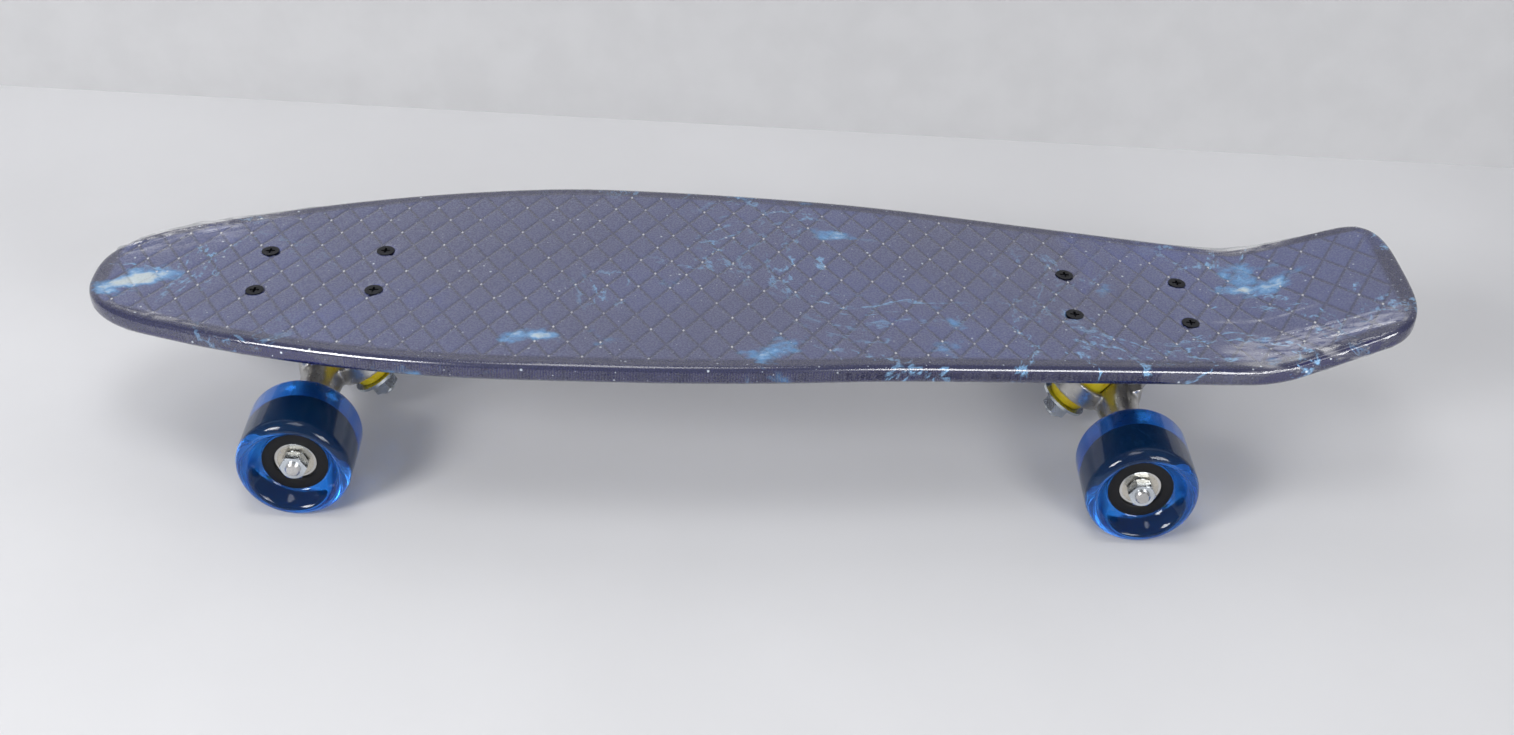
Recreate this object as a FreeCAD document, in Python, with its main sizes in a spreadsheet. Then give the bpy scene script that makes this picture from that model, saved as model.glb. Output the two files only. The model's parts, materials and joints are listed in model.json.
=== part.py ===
import FreeCAD, Part
import math
import os
import re

import Sketcher
from FreeCAD import Placement, Rotation, Vector

# A 28 inch moulded plastic cruiser skateboard in its clear shrink film, in millimetres.
# X runs along the board with the kicktail at +X, Y runs across it, Z is up.
# The origin is on the floor under the middle of the board's length.

SIZES = {
    # deck, seen from the side
    "deck_length": 711.0,
    "deck_thickness": 10.4,
    "deck_edge_round": 3.4,
    "wheelbase_middle": -12.0,
    "camber_angle": 2.5,
    "camber_radius": 1150.0,
    "camber_flat": 120.0,
    "kick_start": 266.0,
    "kick_radius": 60.0,
    "kick_angle": 21.5,
    # deck, seen from above
    "deck_width": 188.0,
    "widest_place": -87.0,
    "nose_narrowing": 61.15,
    "tail_side_radius": 1300.0,
    "tail_taper": 6.0,
    "nose_round": 40.0,
    "nose_squareness": 2.8,
    "tail_round": 27.0,
    "tail_squareness": 3.4,
    "outline_pitch": 72.0,
    # underside of the deck
    "bay_depth": 3.2,
    "bay_rib": 5.0,
    "bay_span": 300.0,
    "bay_width": 118.0,
    # shrink film
    "film_thickness": 0.35,
    "film_hole_gap": 0.25,
    # bolts of the trucks
    "bolt_spacing_along": 63.5,
    "bolt_spacing_across": 41.3,
    "screw_diameter": 4.8,
    "screw_head_diameter": 9.6,
    "screw_head_taper": 2.8,
    "screw_length": 31.8,
    "screw_hole_gap": 0.25,
    "recess_width": 1.3,
    "recess_span": 5.2,
    "recess_depth": 1.8,
    "nut_across_flats": 9.5,
    "nut_thickness": 5.0,
    "nut_room_gap": 0.5,
    "thread_gap": 0.02,
    # truck, in its own frame: +X points at the middle of the board, Z = 0 is its seat
    "axle_spacing": 444.5,
    "axle_drop": 52.0,
    "axle_offset": -5.0,
    "plate_length": 84.0,
    "plate_width": 57.0,
    "plate_thickness": 6.0,
    "plate_corner": 10.0,
    "pivot_offset": -27.0,
    "pivot_drop": 22.0,
    "pivot_radius": 7.0,
    "pivot_lean": 39.0,
    "pivot_gap": 0.06,
    "cup_wall": 3.5,
    "cup_relief": 0.5,
    "housing_wall": 3.2,
    "housing_height": 17.0,
    "seat_offset": 16.0,
    "seat_drop": 45.5,
    "kingpin_lean": 30.0,
    "kingpin_diameter": 9.5,
    "kingpin_gap": 0.15,
    "kingpin_head_flats": 14.2,
    "kingpin_head_thickness": 5.5,
    "head_pocket_gap": 0.6,
    "kingpin_top": 42.0,
    "kingpin_tip": 25.5,
    "kingpin_chamfer": 1.0,
    "kingpin_nut_flats": 14.2,
    "kingpin_nut_thickness": 8.0,
    "boss_radius": 13.8,
    "web_width": 12.0,
    "web_behind_pivot": 6.0,
    "web_ahead_of_pivot": 3.0,
    "web_above_pivot": 4.0,
    "web_behind_seat": 12.0,
    "web_above_seat": 25.0,
    "web_ahead_of_seat": 2.0,
    "bushing_diameter": 27.0,
    "bushing_round": 1.2,
    "upper_bushing_height": 14.5,
    "lower_bushing_height": 10.5,
    "lower_bushing_tip": 21.0,
    "washer_thickness": 1.6,
    "washer_diameter": 27.0,
    "ring_wall": 3.6,
    "ring_web": 5.0,
    "ring_cup_depth": 3.4,
    "ring_cup_gap": 0.4,
    "ring_bore": 17.5,
    "hanger_width": 127.0,
    "hanger_end_diameter": 17.0,
    "hanger_mid_diameter": 25.0,
    "hanger_block_width": 27.0,
    "hanger_block_back": 12.5,
    "hanger_block_top": 13.0,
    "hanger_block_bottom": 11.0,
    "hanger_block_foot": 8.0,
    "hanger_block_nose": 16.0,
    "hanger_block_nose_rise": 4.0,
    "hanger_block_shoulder": 4.0,
    "hanger_block_shoulder_rise": 8.0,
    "hanger_block_chamfer": 5.5,
    "hanger_block_round": 3.0,
    "stem_root_radius": 8.5,
    "stem_neck_radius": 5.6,
    # axle and its hardware
    "axle_diameter": 7.9,
    "axle_tip": 2.0,
    "axle_chamfer": 0.8,
    "axle_nut_flats": 12.7,
    "axle_nut_thickness": 6.4,
    "speed_washer_diameter": 11.8,
    "speed_washer_thickness": 0.9,
    # wheel
    "wheel_diameter": 60.0,
    "wheel_width": 45.0,
    "wheel_lip_round": 6.0,
    "wheel_face_diameter": 47.0,
    "core_diameter": 35.0,
    "core_width": 27.0,
    "core_web_diameter": 17.0,
    # 608 ball bearings
    "bearing_diameter": 22.0,
    "bearing_bore": 8.0,
    "bearing_width": 7.0,
    "bearing_spacer_length": 10.0,
    "spacer_diameter": 10.4,
    "inner_ring_diameter": 12.1,
    "outer_ring_bore": 19.2,
    "ball_diameter": 3.97,
    "ball_circle": 15.0,
    "ball_gap": 0.04,
    "ball_count": 7,
    "cage_radial": 1.2,
    "cage_width": 4.9,
    "shield_thickness": 0.35,
    "shield_gap": 0.3,
    "shield_groove": 0.25,
}

# How far a cutting tool, or the blank that it trims, runs past the piece.
RUN_OUT = 40.0

doc = FreeCAD.newDocument("cruiser_skateboard")
sheet = doc.addObject("Spreadsheet::Sheet", "sizes")
for row, (alias, number) in enumerate(SIZES.items(), start=1):
    sheet.set(f"A{row}", alias)
    sheet.set(f"B{row}", str(number))
    sheet.setAlias(f"B{row}", alias)
doc.recompute()


def formula(text):
    """Put the sheet's name before each size that a formula names."""

    def with_sheet(found):
        word = found.group(0)
        return f"sizes.{word}" if word in SIZES else word

    return re.sub(r"[a-z][a-z_0-9]*", with_sheet, text)


def value(text):
    """The number that a formula gives now."""
    return float(sheet.evalExpression(formula(text)))


def bind(thing, **formulas):
    """Tie each named property of a thing to its formula."""
    for name, text in formulas.items():
        thing.setExpression(name, formula(text))


# Derived places and lengths, as formulas of the sizes above.
WHEEL_RADIUS = "(wheel_diameter / 2)"
NOSE_REACH = "(deck_length / 2 + widest_place)"
NOSE_SIDE_RADIUS = f"(({NOSE_REACH}^2 + nose_narrowing^2) / (2 * nose_narrowing))"
SEAT_HEIGHT = (
    f"({WHEEL_RADIUS} + axle_drop * cos(camber_angle) - axle_offset * sin(camber_angle))"
)
BOLTS_FROM_MIDDLE = (
    "(axle_spacing / 2 + axle_offset * cos(camber_angle) + axle_drop * sin(camber_angle))"
)
STACK_TOP = "(deck_thickness + film_thickness)"
CAMBER_END = "(camber_flat / 2 + camber_radius * sin(camber_angle))"
CAMBER_DROP = "(camber_radius * (1 - cos(camber_angle)))"
DECK_TOP = (
    f"({SEAT_HEIGHT} + {STACK_TOP} / cos(camber_angle) + {CAMBER_DROP}"
    f" + ({BOLTS_FROM_MIDDLE} - {CAMBER_END}) * tan(camber_angle))"
)
UPPER_SEAT = "(ring_web / 2)"
BOSS_FACE = f"({UPPER_SEAT} + upper_bushing_height + washer_thickness)"
LOWER_STACK = f"({UPPER_SEAT} + lower_bushing_height)"
BEARING_PAIR = "(bearing_spacer_length / 2 + bearing_width)"
WHEEL_PLACE = f"(hanger_width / 2 + speed_washer_thickness + {BEARING_PAIR})"
AXLE_NUT_SEAT = f"({WHEEL_PLACE} + {BEARING_PAIR} + speed_washer_thickness)"
AXLE_HALF = f"({AXLE_NUT_SEAT} + axle_nut_thickness + axle_tip)"


def add(kind, label, **formulas):
    """A new object of the document with its label and its tied sizes."""
    thing = doc.addObject(kind, label)
    thing.Label = label
    bind(thing, **formulas)
    return thing


def origin_plane(body, role):
    """One of a body's own origin planes."""
    return next(item for item in body.Origin.OriginFeatures if item.Role == role)


def fix_point(sketch, piece, end, x, y):
    """Tie one end of a line or arc of a sketch to the formulas of its place."""
    for kind, text, axis in (("DistanceX", x, -2), ("DistanceY", y, -1)):
        number = value(text)
        if abs(number) < 1e-9:
            sketch.addConstraint(Sketcher.Constraint("PointOnObject", piece, end, axis))
            continue
        index = sketch.addConstraint(Sketcher.Constraint(kind, -1, 1, piece, end, number))
        sketch.setExpression(f"Constraints[{index}]", formula(text))


def draw(sketch, corners):
    """Draw a closed outline. A corner is (x, y), or (x, y, radius, side) after an arc.

    side is 1 where the arc bulges to the left of the way from the corner before, else -1.
    """
    places = [Vector(value(c[0]), value(c[1]), 0) for c in corners]
    for number, corner in enumerate(corners):
        start, finish = places[number - 1], places[number]
        if len(corner) == 2:
            sketch.addGeometry(Part.LineSegment(start, finish))
            continue
        radius = value(corner[2])
        chord = finish - start
        left = Vector(-chord.y, chord.x, 0).normalize()
        rise = radius - math.sqrt(radius**2 - (chord.Length / 2) ** 2)
        middle = (start + finish) * 0.5 + left * rise * corner[3]
        sketch.addGeometry(Part.Arc(start, middle, finish))
    for number, corner in enumerate(corners):
        centre_left = len(corner) == 4 and corner[3] > 0
        end = 1 if centre_left else 2
        fix_point(sketch, number, end, corner[0], corner[1])
        if len(corner) == 4:
            before = corners[number - 1]
            fix_point(sketch, number, 3 - end, before[0], before[1])
            index = sketch.addConstraint(Sketcher.Constraint("Radius", number, value(corner[2])))
            sketch.setExpression(f"Constraints[{index}]", formula(corner[2]))
        elif len(corners[number - 1]) == 4 or number == 0:
            fix_point(sketch, number, 1, corners[number - 1][0], corners[number - 1][1])
        else:
            join = Sketcher.Constraint("Coincident", number - 1, 2, number, 1)
            sketch.addConstraint(join)


def sketched(label, role, corners):
    """A body with one closed sketch on one of its origin planes."""
    body = add("PartDesign::Body", label)
    sketch = body.newObject("Sketcher::SketchObject", f"{label}_outline")
    sketch.AttachmentSupport = [(origin_plane(body, role), "")]
    sketch.MapMode = "FlatFace"
    draw(sketch, corners)
    return body, sketch


def turned(label, corners, place=Placement()):
    """A body turned about its own Z axis from an outline of (radius, height)."""
    body, sketch = sketched(label, "XZ_Plane", corners)
    turn = body.newObject("PartDesign::Revolution", f"{label}_turning")
    turn.Profile = sketch
    turn.ReferenceAxis = (sketch, ["V_Axis"])
    turn.Angle = 360
    body.Placement = place
    return body


def padded(label, corners, width):
    """A body whose (X, Z) outline is as wide as width across Y, half to each side."""
    body, sketch = sketched(label, "XZ_Plane", corners)
    pad = body.newObject("PartDesign::Pad", f"{label}_width")
    pad.Profile = sketch
    pad.SideType = "Symmetric"
    bind(pad, Length=width)
    return body


def rounded(body, radius, chosen):
    """Round the edges of a body's last feature that chosen(edge) picks."""
    doc.recompute()
    base = body.Tip
    names = [f"Edge{n}" for n, edge in enumerate(base.Shape.Edges, start=1) if chosen(edge)]
    fillet = body.newObject("PartDesign::Fillet", f"{body.Name}_round")
    fillet.Base = (base, names)
    bind(fillet, Radius=radius)
    return body


def tube(label, inner, outer, low, high, place=Placement()):
    """A turned ring between two radii and two heights."""
    corners = [(inner, low), (outer, low), (outer, high), (inner, high)]
    return turned(label, corners, place)


def groove(body, radius, centre):
    """Cut a round groove about the Z axis of a turned body, at height zero."""
    sketch = body.newObject("Sketcher::SketchObject", f"{body.Name}_groove_outline")
    sketch.AttachmentSupport = [(origin_plane(body, "XZ_Plane"), "")]
    sketch.MapMode = "FlatFace"
    circle = Part.Circle(Vector(value(centre), 0, 0), Vector(0, 0, 1), value(radius))
    sketch.addGeometry(circle)
    sketch.addConstraint(Sketcher.Constraint("PointOnObject", 0, 3, -1))
    for kind, text in (("DistanceX", centre), ("Radius", radius)):
        ends = (-1, 1, 0, 3) if kind == "DistanceX" else (0,)
        index = sketch.addConstraint(Sketcher.Constraint(kind, *ends, value(text)))
        sketch.setExpression(f"Constraints[{index}]", formula(text))
    cut = body.newObject("PartDesign::Groove", f"{body.Name}_groove")
    cut.Profile = sketch
    cut.ReferenceAxis = (sketch, ["V_Axis"])
    cut.Angle = 360
    return body


def combine(kind, label, base, tool, place=Placement()):
    """One Part boolean of two objects."""
    result = add(kind, label)
    result.Base = base
    result.Tool = tool
    result.Placement = place
    return result


def fuse(label, pieces, place=Placement()):
    """Several objects made one solid."""
    result = add("Part::MultiFuse", label)
    result.Shapes = pieces
    result.Placement = place
    return result


def group(label, master, places, place=Placement()):
    """Identical solids that share one node: a master put at several places."""
    links = []
    for number, spot in enumerate(places):
        link = add("App::Link", f"{label}_{number}")
        link.LinkedObject = master
        link.Placement = spot
        links.append(link)
    result = add("Part::Compound", label)
    result.Links = links
    result.Placement = place
    return result


def hex_nut(label, flats, thickness, bore, place=Placement()):
    """A chamfered hexagon nut from height zero up."""
    corner = f"({flats} / 2 / cos(30))"
    slope = f"({corner} - {flats} / 2)"
    corners = [
        (bore, "0"),
        (f"{flats} / 2", "0"),
        (corner, f"{slope} * tan(30)"),
        (corner, f"{thickness} - {slope} * tan(30)"),
        (f"{flats} / 2", thickness),
        (bore, thickness),
    ]
    blank = turned(f"{label}_blank", corners)
    prism = add("Part::Prism", f"{label}_hexagon", Circumradius=corner, Height=thickness)
    prism.Polygon = 6
    return combine("Part::Common", label, blank, prism, place)


# ---------------------------------------------------------------- places in the frame

AXLES = {
    "front": (value(f"wheelbase_middle - {BOLTS_FROM_MIDDLE}"), 0),
    "rear": (value(f"wheelbase_middle + {BOLTS_FROM_MIDDLE}"), 180),
}
SIDES = {"left": -1, "right": 1}
FACING = {"front": 1, "rear": -1}


def truck_place(end):
    """Where a truck's own frame stands: turned to face the middle and tipped by the camber."""
    x, turn = AXLES[end]
    face = Rotation(Vector(0, 0, 1), turn)
    tip = Rotation(Vector(0, 1, 0), -value("camber_angle"))
    return Placement(Vector(x, 0, value(SEAT_HEIGHT)), face * tip)


def kingpin_place(distance):
    """A frame in the truck at a distance below the hanger's seat, with Z up the kingpin."""
    lean = math.radians(value("kingpin_lean"))
    along = Vector(-math.sin(lean), 0, math.cos(lean))
    seat = Vector(value("seat_offset"), 0, -value("seat_drop"))
    return Placement(seat - along * distance, Rotation(Vector(0, 1, 0), -value("kingpin_lean")))


def pivot_place(distance):
    """A frame in the truck at a distance below the pivot's centre, with Z up the pivot."""
    lean = math.radians(value("pivot_lean"))
    along = Vector(-math.sin(lean), 0, math.cos(lean))
    centre = Vector(value("pivot_offset"), 0, -value("pivot_drop"))
    return Placement(centre - along * distance, Rotation(Vector(0, 1, 0), -value("pivot_lean")))


def across(y, side):
    """A frame with Z pointing out of the board across it, at a distance from its middle."""
    return Placement(Vector(0, side * y, 0), Rotation(Vector(1, 0, 0), -90 * side))


BOLT_SPOTS = [
    Vector(along * value("bolt_spacing_along") / 2, side * value("bolt_spacing_across") / 2, 0)
    for along in (-1, 1)
    for side in (-1, 1)
]


def all_bolts(height):
    """The eight bolts' places, each at a height above its truck's seat."""
    return [
        truck_place(end) * Placement(spot + Vector(0, 0, height), Rotation())
        for end in AXLES
        for spot in BOLT_SPOTS
    ]


# ---------------------------------------------------------------- deck and its film


def side_line(depth, run_out):
    """The deck's side line from nose to tail, sunk by a depth: its corners, first to last."""
    middle = "wheelbase_middle"
    end_x = f"(deck_length / 2 + {run_out})"
    camber_x = f"({middle} + {CAMBER_END})"
    camber_z = f"({DECK_TOP} - {CAMBER_DROP})"
    kick_z = f"({camber_z} - (kick_start - {camber_x}) * tan(camber_angle))"
    rise_x = "(kick_start + kick_radius * (sin(camber_angle) + sin(kick_angle)))"
    rise_z = f"({kick_z} + kick_radius * (cos(camber_angle) - cos(kick_angle)))"
    nose_x = f"({middle} - {CAMBER_END})"
    stations = [
        (f"-{end_x}", f"{camber_z} - ({nose_x} + {end_x}) * tan(camber_angle)", "camber_angle"),
        (nose_x, camber_z, "camber_angle"),
        (f"{middle} - camber_flat / 2", DECK_TOP, "0"),
        (f"{middle} + camber_flat / 2", DECK_TOP, "0"),
        (camber_x, camber_z, "(-camber_angle)"),
        ("kick_start", kick_z, "(-camber_angle)"),
        (rise_x, rise_z, "kick_angle"),
        (end_x, f"{rise_z} + ({end_x} - {rise_x}) * tan(kick_angle)", "kick_angle"),
    ]
    return [
        (f"{x} + ({depth}) * sin({slope})", f"{z} - ({depth}) * cos({slope})")
        for x, z, slope in stations
    ]


def side_band(top, bottom):
    """The closed side outline between two depths under the deck's top line."""
    upper = side_line(top, RUN_OUT)
    lower = side_line(bottom, RUN_OUT)
    crown, crown_under = f"camber_radius - ({top})", f"camber_radius - ({bottom})"
    dip, dip_under = f"kick_radius + ({top})", f"kick_radius + ({bottom})"
    forward = [
        upper[0],
        upper[1],
        (*upper[2], crown, 1),
        upper[3],
        (*upper[4], crown, 1),
        upper[5],
        (*upper[6], dip, -1),
        upper[7],
    ]
    back = [
        lower[7],
        lower[6],
        (*lower[5], dip_under, 1),
        lower[4],
        (*lower[3], crown_under, -1),
        lower[2],
        (*lower[1], crown_under, -1),
        lower[0],
    ]
    return forward + back


def half_width(x, grow):
    """Half the deck's width at x before its two ends are rounded off."""
    from_widest = x - value("widest_place")
    widest = value("deck_width") / 2 + grow
    if from_widest < 0:
        radius = value(NOSE_SIDE_RADIUS)
        return widest - radius + math.sqrt(radius**2 - from_widest**2)
    radius = value("tail_side_radius")
    taper = math.radians(value("tail_taper"))
    bend = radius * math.sin(taper)
    if from_widest < bend:
        return widest - radius + math.sqrt(radius**2 - from_widest**2)
    return widest - radius * (1 - math.cos(taper)) - (from_widest - bend) * math.tan(taper)


def plan_outline(grow):
    """The closed outline seen from above: side curves with each end a superellipse."""
    end = value("deck_length") / 2 + grow
    steps = 7
    half = []
    for sign, length, power in (
        (-1, value("nose_round"), value("nose_squareness")),
        (1, value("tail_round"), value("tail_squareness")),
    ):
        cap = []
        for step in range(steps + 1):
            angle = math.pi / 2 * step / steps
            x = sign * (end - length * (1 - math.cos(angle) ** (2 / power)))
            cap.append(Vector(x, half_width(x, grow) * math.sin(angle) ** (2 / power), 0))
        half += cap if sign < 0 else cap[::-1]
    nose_cap, tail_cap = half[: steps + 1], half[steps + 1 :]
    first, last = nose_cap[-1].x, tail_cap[0].x
    stations = round((last - first) / value("outline_pitch"))
    sides = []
    for step in range(1, stations):
        x = first + (last - first) * step / stations
        sides.append(Vector(x, half_width(x, grow), 0))
    near = nose_cap + sides + tail_cap
    far = [Vector(p.x, -p.y, 0) for p in near[-2:0:-1]]
    curve = Part.BSplineCurve()
    curve.interpolate(Points=near + far, PeriodicFlag=True)
    return Part.Face(Part.Wire([curve.toShape()]))


def plan_blank(label, grow, top, bottom, edge_round):
    """A slab of the deck's side shape, cut to its outline and rounded along its edges."""
    slab = padded(f"{label}_slab", side_band(top, bottom), f"deck_width + {RUN_OUT}")
    outline = add("Part::Feature", f"{label}_plan")
    outline.Shape = plan_outline(grow)
    outline.Placement = Placement(Vector(0, 0, 0), Rotation())
    walls = add("Part::Extrusion", f"{label}_walls", LengthFwd=f"{DECK_TOP} + deck_length / 2")
    walls.Base = outline
    walls.Dir = Vector(0, 0, 1)
    walls.Solid = True
    blank = combine("Part::Common", f"{label}_blank", slab, walls)
    doc.recompute()
    rim = []
    for number, edge in enumerate(blank.Shape.Edges, start=1):
        middle = edge.valueAt((edge.FirstParameter + edge.LastParameter) / 2)
        inside = abs(middle.y) < 1 and abs(middle.x) < value("deck_length") / 2 - 8
        upright = edge.BoundBox.ZLength > 4 and edge.BoundBox.DiagonalLength < value(
            "deck_thickness + 3"
        )
        if not inside and not upright:
            rim.append((number, value(edge_round), value(edge_round)))
    solid = add("Part::Fillet", f"{label}_solid")
    solid.Base = blank
    solid.Edges = rim
    return solid


HEAD_TOP = value(f"film_thickness + {STACK_TOP}")


def screw_outline(gap):
    """The (radius, height) outline of a flat-head screw whose head's top is at height zero."""
    head = f"(screw_head_diameter / 2 + {gap})"
    shank = f"(screw_diameter / 2 + {gap})"
    return [
        ("0", f"-screw_length - {gap}"),
        (shank, f"-screw_length - {gap}"),
        (shank, "-screw_head_taper"),
        (head, "-film_thickness"),
        (head, "film_thickness"),
        ("0", "film_thickness"),
    ]


screw_room = turned("screw_room", screw_outline("screw_hole_gap"))
rooms = group("screw_rooms", screw_room, all_bolts(HEAD_TOP))
deck_blank = plan_blank("deck_body", 0, "0", "deck_thickness", "deck_edge_round")

# The underside is lightened by shallow bays between ribs, and stays flat under the trucks.
bay_bottom = f"deck_thickness + {RUN_OUT} / 2"
bay_band = padded("bay_band", side_band("deck_thickness - bay_depth", bay_bottom), "bay_width")
BAY_COLUMNS, BAY_ROWS = 6, 3
bay = add(
    "Part::Box",
    "bay",
    Length=f"(bay_span + bay_rib) / {BAY_COLUMNS} - bay_rib",
    Width=f"(bay_width + bay_rib) / {BAY_ROWS} - bay_rib",
    Height=DECK_TOP,
)
bay_spots = [
    Placement(
        Vector(
            value(f"wheelbase_middle - bay_span / 2 + {c} * (bay_span + bay_rib) / {BAY_COLUMNS}"),
            value(f"-bay_width / 2 + {r} * (bay_width + bay_rib) / {BAY_ROWS}"),
            0,
        ),
        Rotation(),
    )
    for c in range(BAY_COLUMNS)
    for r in range(BAY_ROWS)
]
bays = combine("Part::Common", "bays", group("bay_boxes", bay, bay_spots), bay_band)
ribbed = combine("Part::Cut", "ribbed_deck", deck_blank, bays)
deck = combine("Part::Cut", "deck", ribbed, rooms)

film_outside = plan_blank(
    "film_outside",
    value("film_thickness"),
    "-film_thickness",
    "deck_thickness + film_thickness",
    "deck_edge_round + film_thickness",
)
film_shell = combine("Part::Cut", "film_shell", film_outside, deck_blank)
film_cutter = add(
    "Part::Cylinder",
    "film_cutter",
    Radius="screw_head_diameter / 2 + film_hole_gap",
    Height="deck_thickness + 4 * film_thickness",
)
film_cutters = group("film_cutters", film_cutter, all_bolts(value("-film_thickness")))
shrink_film = combine("Part::Cut", "shrink_film", film_shell, film_cutters)

# ---------------------------------------------------------------- deck screws and nuts

head_rim = [("screw_head_diameter / 2", "0"), ("0", "0")]
screw_blank = turned("screw_blank", screw_outline("0")[:4] + head_rim)
slots = []
for turn in (0, 90):
    slot = add(
        "Part::Box",
        f"recess_slot_{turn}",
        Length="recess_span",
        Width="recess_width",
        Height="2 * recess_depth",
    )
    centre = Vector(-value("recess_span") / 2, -value("recess_width") / 2, -value("recess_depth"))
    slot.Placement = Placement(Vector(), Rotation(Vector(0, 0, 1), turn)) * Placement(
        centre, Rotation()
    )
    slots.append(slot)
screw = combine("Part::Cut", "screw", screw_blank, fuse("recess", slots))
deck_screws = group("deck_screws", screw, all_bolts(HEAD_TOP))

nut = hex_nut(
    "deck_nut", "nut_across_flats", "nut_thickness", "screw_diameter / 2 + thread_gap"
)
nut_height = -value("plate_thickness + nut_thickness")
deck_nuts = group("deck_nuts", nut, all_bolts(nut_height))

nodes = [deck, shrink_film, deck_screws, deck_nuts]

# ---------------------------------------------------------------- trucks


def baseplate(end):
    """The cast baseplate: a flange with a kingpin boss and a pivot housing under it."""
    plate = add(
        "Part::Box",
        f"{end}_flange",
        Length="plate_length",
        Width="plate_width",
        Height="plate_thickness",
    )
    plate.Placement = Placement(
        Vector(-value("plate_length") / 2, -value("plate_width") / 2, -value("plate_thickness")),
        Rotation(),
    )
    doc.recompute()
    flange = add("Part::Fillet", f"{end}_flange_rounded")
    flange.Base = plate
    radius = value("plate_corner")
    flange.Edges = [
        (number, radius, radius)
        for number, edge in enumerate(plate.Shape.Edges, start=1)
        if edge.BoundBox.ZLength > value("plate_thickness") / 2
    ]
    boss_length = f"(kingpin_top - {BOSS_FACE})"
    boss = add("Part::Cylinder", f"{end}_boss", Radius="boss_radius", Height=boss_length)
    boss.Placement = kingpin_place(-value(BOSS_FACE))
    housing_radius = "(pivot_radius + cup_wall + housing_wall)"
    housing = add(
        "Part::Cylinder", f"{end}_housing", Radius=housing_radius, Height="housing_height"
    )
    housing.Placement = pivot_place(0)
    web = padded(
        f"{end}_web",
        [
            ("pivot_offset - web_behind_pivot", "-plate_thickness / 2"),
            ("pivot_offset + web_ahead_of_pivot", "-pivot_drop + web_above_pivot"),
            ("seat_offset - web_behind_seat", "-seat_drop + web_above_seat"),
            ("seat_offset + web_ahead_of_seat", "-plate_thickness / 2"),
        ],
        "web_width",
    )
    casting = fuse(f"{end}_casting", [flange, boss, housing, web])
    head_pocket = add(
        "Part::Cylinder",
        f"{end}_head_pocket",
        Radius="kingpin_head_flats / 2 / cos(30) + head_pocket_gap",
        Height=f"{RUN_OUT}",
    )
    head_pocket.Placement = kingpin_place(-value("kingpin_top - kingpin_head_thickness"))
    pin_bore = add(
        "Part::Cylinder",
        f"{end}_pin_bore",
        Radius="kingpin_diameter / 2 + kingpin_gap",
        Height=f"kingpin_top + {RUN_OUT}",
    )
    pin_bore.Placement = kingpin_place(0)
    cup_bore = add(
        "Part::Cylinder",
        f"{end}_cup_bore",
        Radius="pivot_radius + cup_wall",
        Height="2 * pivot_radius + cup_wall + cup_relief",
    )
    cup_bore.Placement = pivot_place(value("pivot_radius"))
    bolt_hole = add(
        "Part::Cylinder",
        f"{end}_bolt_hole",
        Radius="screw_diameter / 2 + screw_hole_gap",
        Height=f"2 * {RUN_OUT}",
    )
    hole_low = Vector(0, 0, -RUN_OUT)
    hole_spots = [Placement(spot + hole_low, Rotation()) for spot in BOLT_SPOTS]
    holes = group(f"{end}_bolt_holes", bolt_hole, hole_spots)
    above = add(
        "Part::Box",
        f"{end}_above_seat",
        Length=f"plate_length + 2 * {RUN_OUT}",
        Width=f"plate_width + 2 * {RUN_OUT}",
        Height=f"{RUN_OUT}",
    )
    above.Placement = Placement(
        Vector(-value("plate_length") / 2 - RUN_OUT, -value("plate_width") / 2 - RUN_OUT, 0),
        Rotation(),
    )
    nut_room = add(
        "Part::Cylinder",
        f"{end}_nut_room",
        Radius="nut_across_flats / 2 / cos(30) + nut_room_gap",
        Height=f"{RUN_OUT}",
    )
    room_low = Vector(0, 0, -RUN_OUT - value("plate_thickness"))
    room_spots = [Placement(spot + room_low, Rotation()) for spot in BOLT_SPOTS]
    nut_rooms = group(f"{end}_nut_rooms", nut_room, room_spots)
    cutters = fuse(
        f"{end}_baseplate_cuts", [head_pocket, pin_bore, cup_bore, holes, above, nut_rooms]
    )
    return combine("Part::Cut", f"{end}_baseplate", casting, cutters, truck_place(end))


def pivot_cup(end):
    """The plastic cup that the hanger's round pivot turns in."""
    blank = tube(
        f"{end}_cup_blank",
        "0",
        "pivot_radius + cup_wall",
        "0",
        "pivot_radius + cup_wall + cup_relief",
    )
    ball = add("Part::Sphere", f"{end}_cup_hollow", Radius="pivot_radius + pivot_gap")
    place = truck_place(end) * pivot_place(0)
    return combine("Part::Cut", f"{end}_pivot_cup", blank, ball, place)


def kingpin(end):
    """The kingpin bolt, head up in the baseplate and thread down through the bushings."""
    head = hex_nut(
        f"{end}_kingpin_head", "kingpin_head_flats", "kingpin_head_thickness", "kingpin_diameter / 4"
    )
    head.Placement = Placement(
        Vector(0, 0, value("kingpin_top - kingpin_head_thickness")), Rotation()
    )
    shank = turned(
        f"{end}_kingpin_shank",
        [
            ("0", "-kingpin_tip"),
            ("kingpin_diameter / 2 - kingpin_chamfer", "-kingpin_tip"),
            ("kingpin_diameter / 2", "-kingpin_tip + kingpin_chamfer"),
            ("kingpin_diameter / 2", "kingpin_top - kingpin_head_thickness"),
            ("kingpin_diameter / 2", "kingpin_top"),
            ("0", "kingpin_top"),
        ],
    )
    return fuse(f"{end}_kingpin", [head, shank], truck_place(end) * kingpin_place(0))


def bushing_corners(low, height, wide, narrow, narrow_first):
    """The outline of a bushing between two diameters, with a small round-over at each end."""
    ease = "bushing_round"
    first, last = (narrow, wide) if narrow_first else (wide, narrow)
    bore = "(kingpin_diameter / 2 + kingpin_gap)"
    return [
        (bore, low),
        (f"{first} / 2 - {ease}", low),
        (f"{first} / 2", f"{low} + {ease}"),
        (f"{last} / 2", f"{low} + {height} - {ease}"),
        (f"{last} / 2 - {ease}", f"{low} + {height}"),
        (bore, f"{low} + {height}"),
    ]


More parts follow.
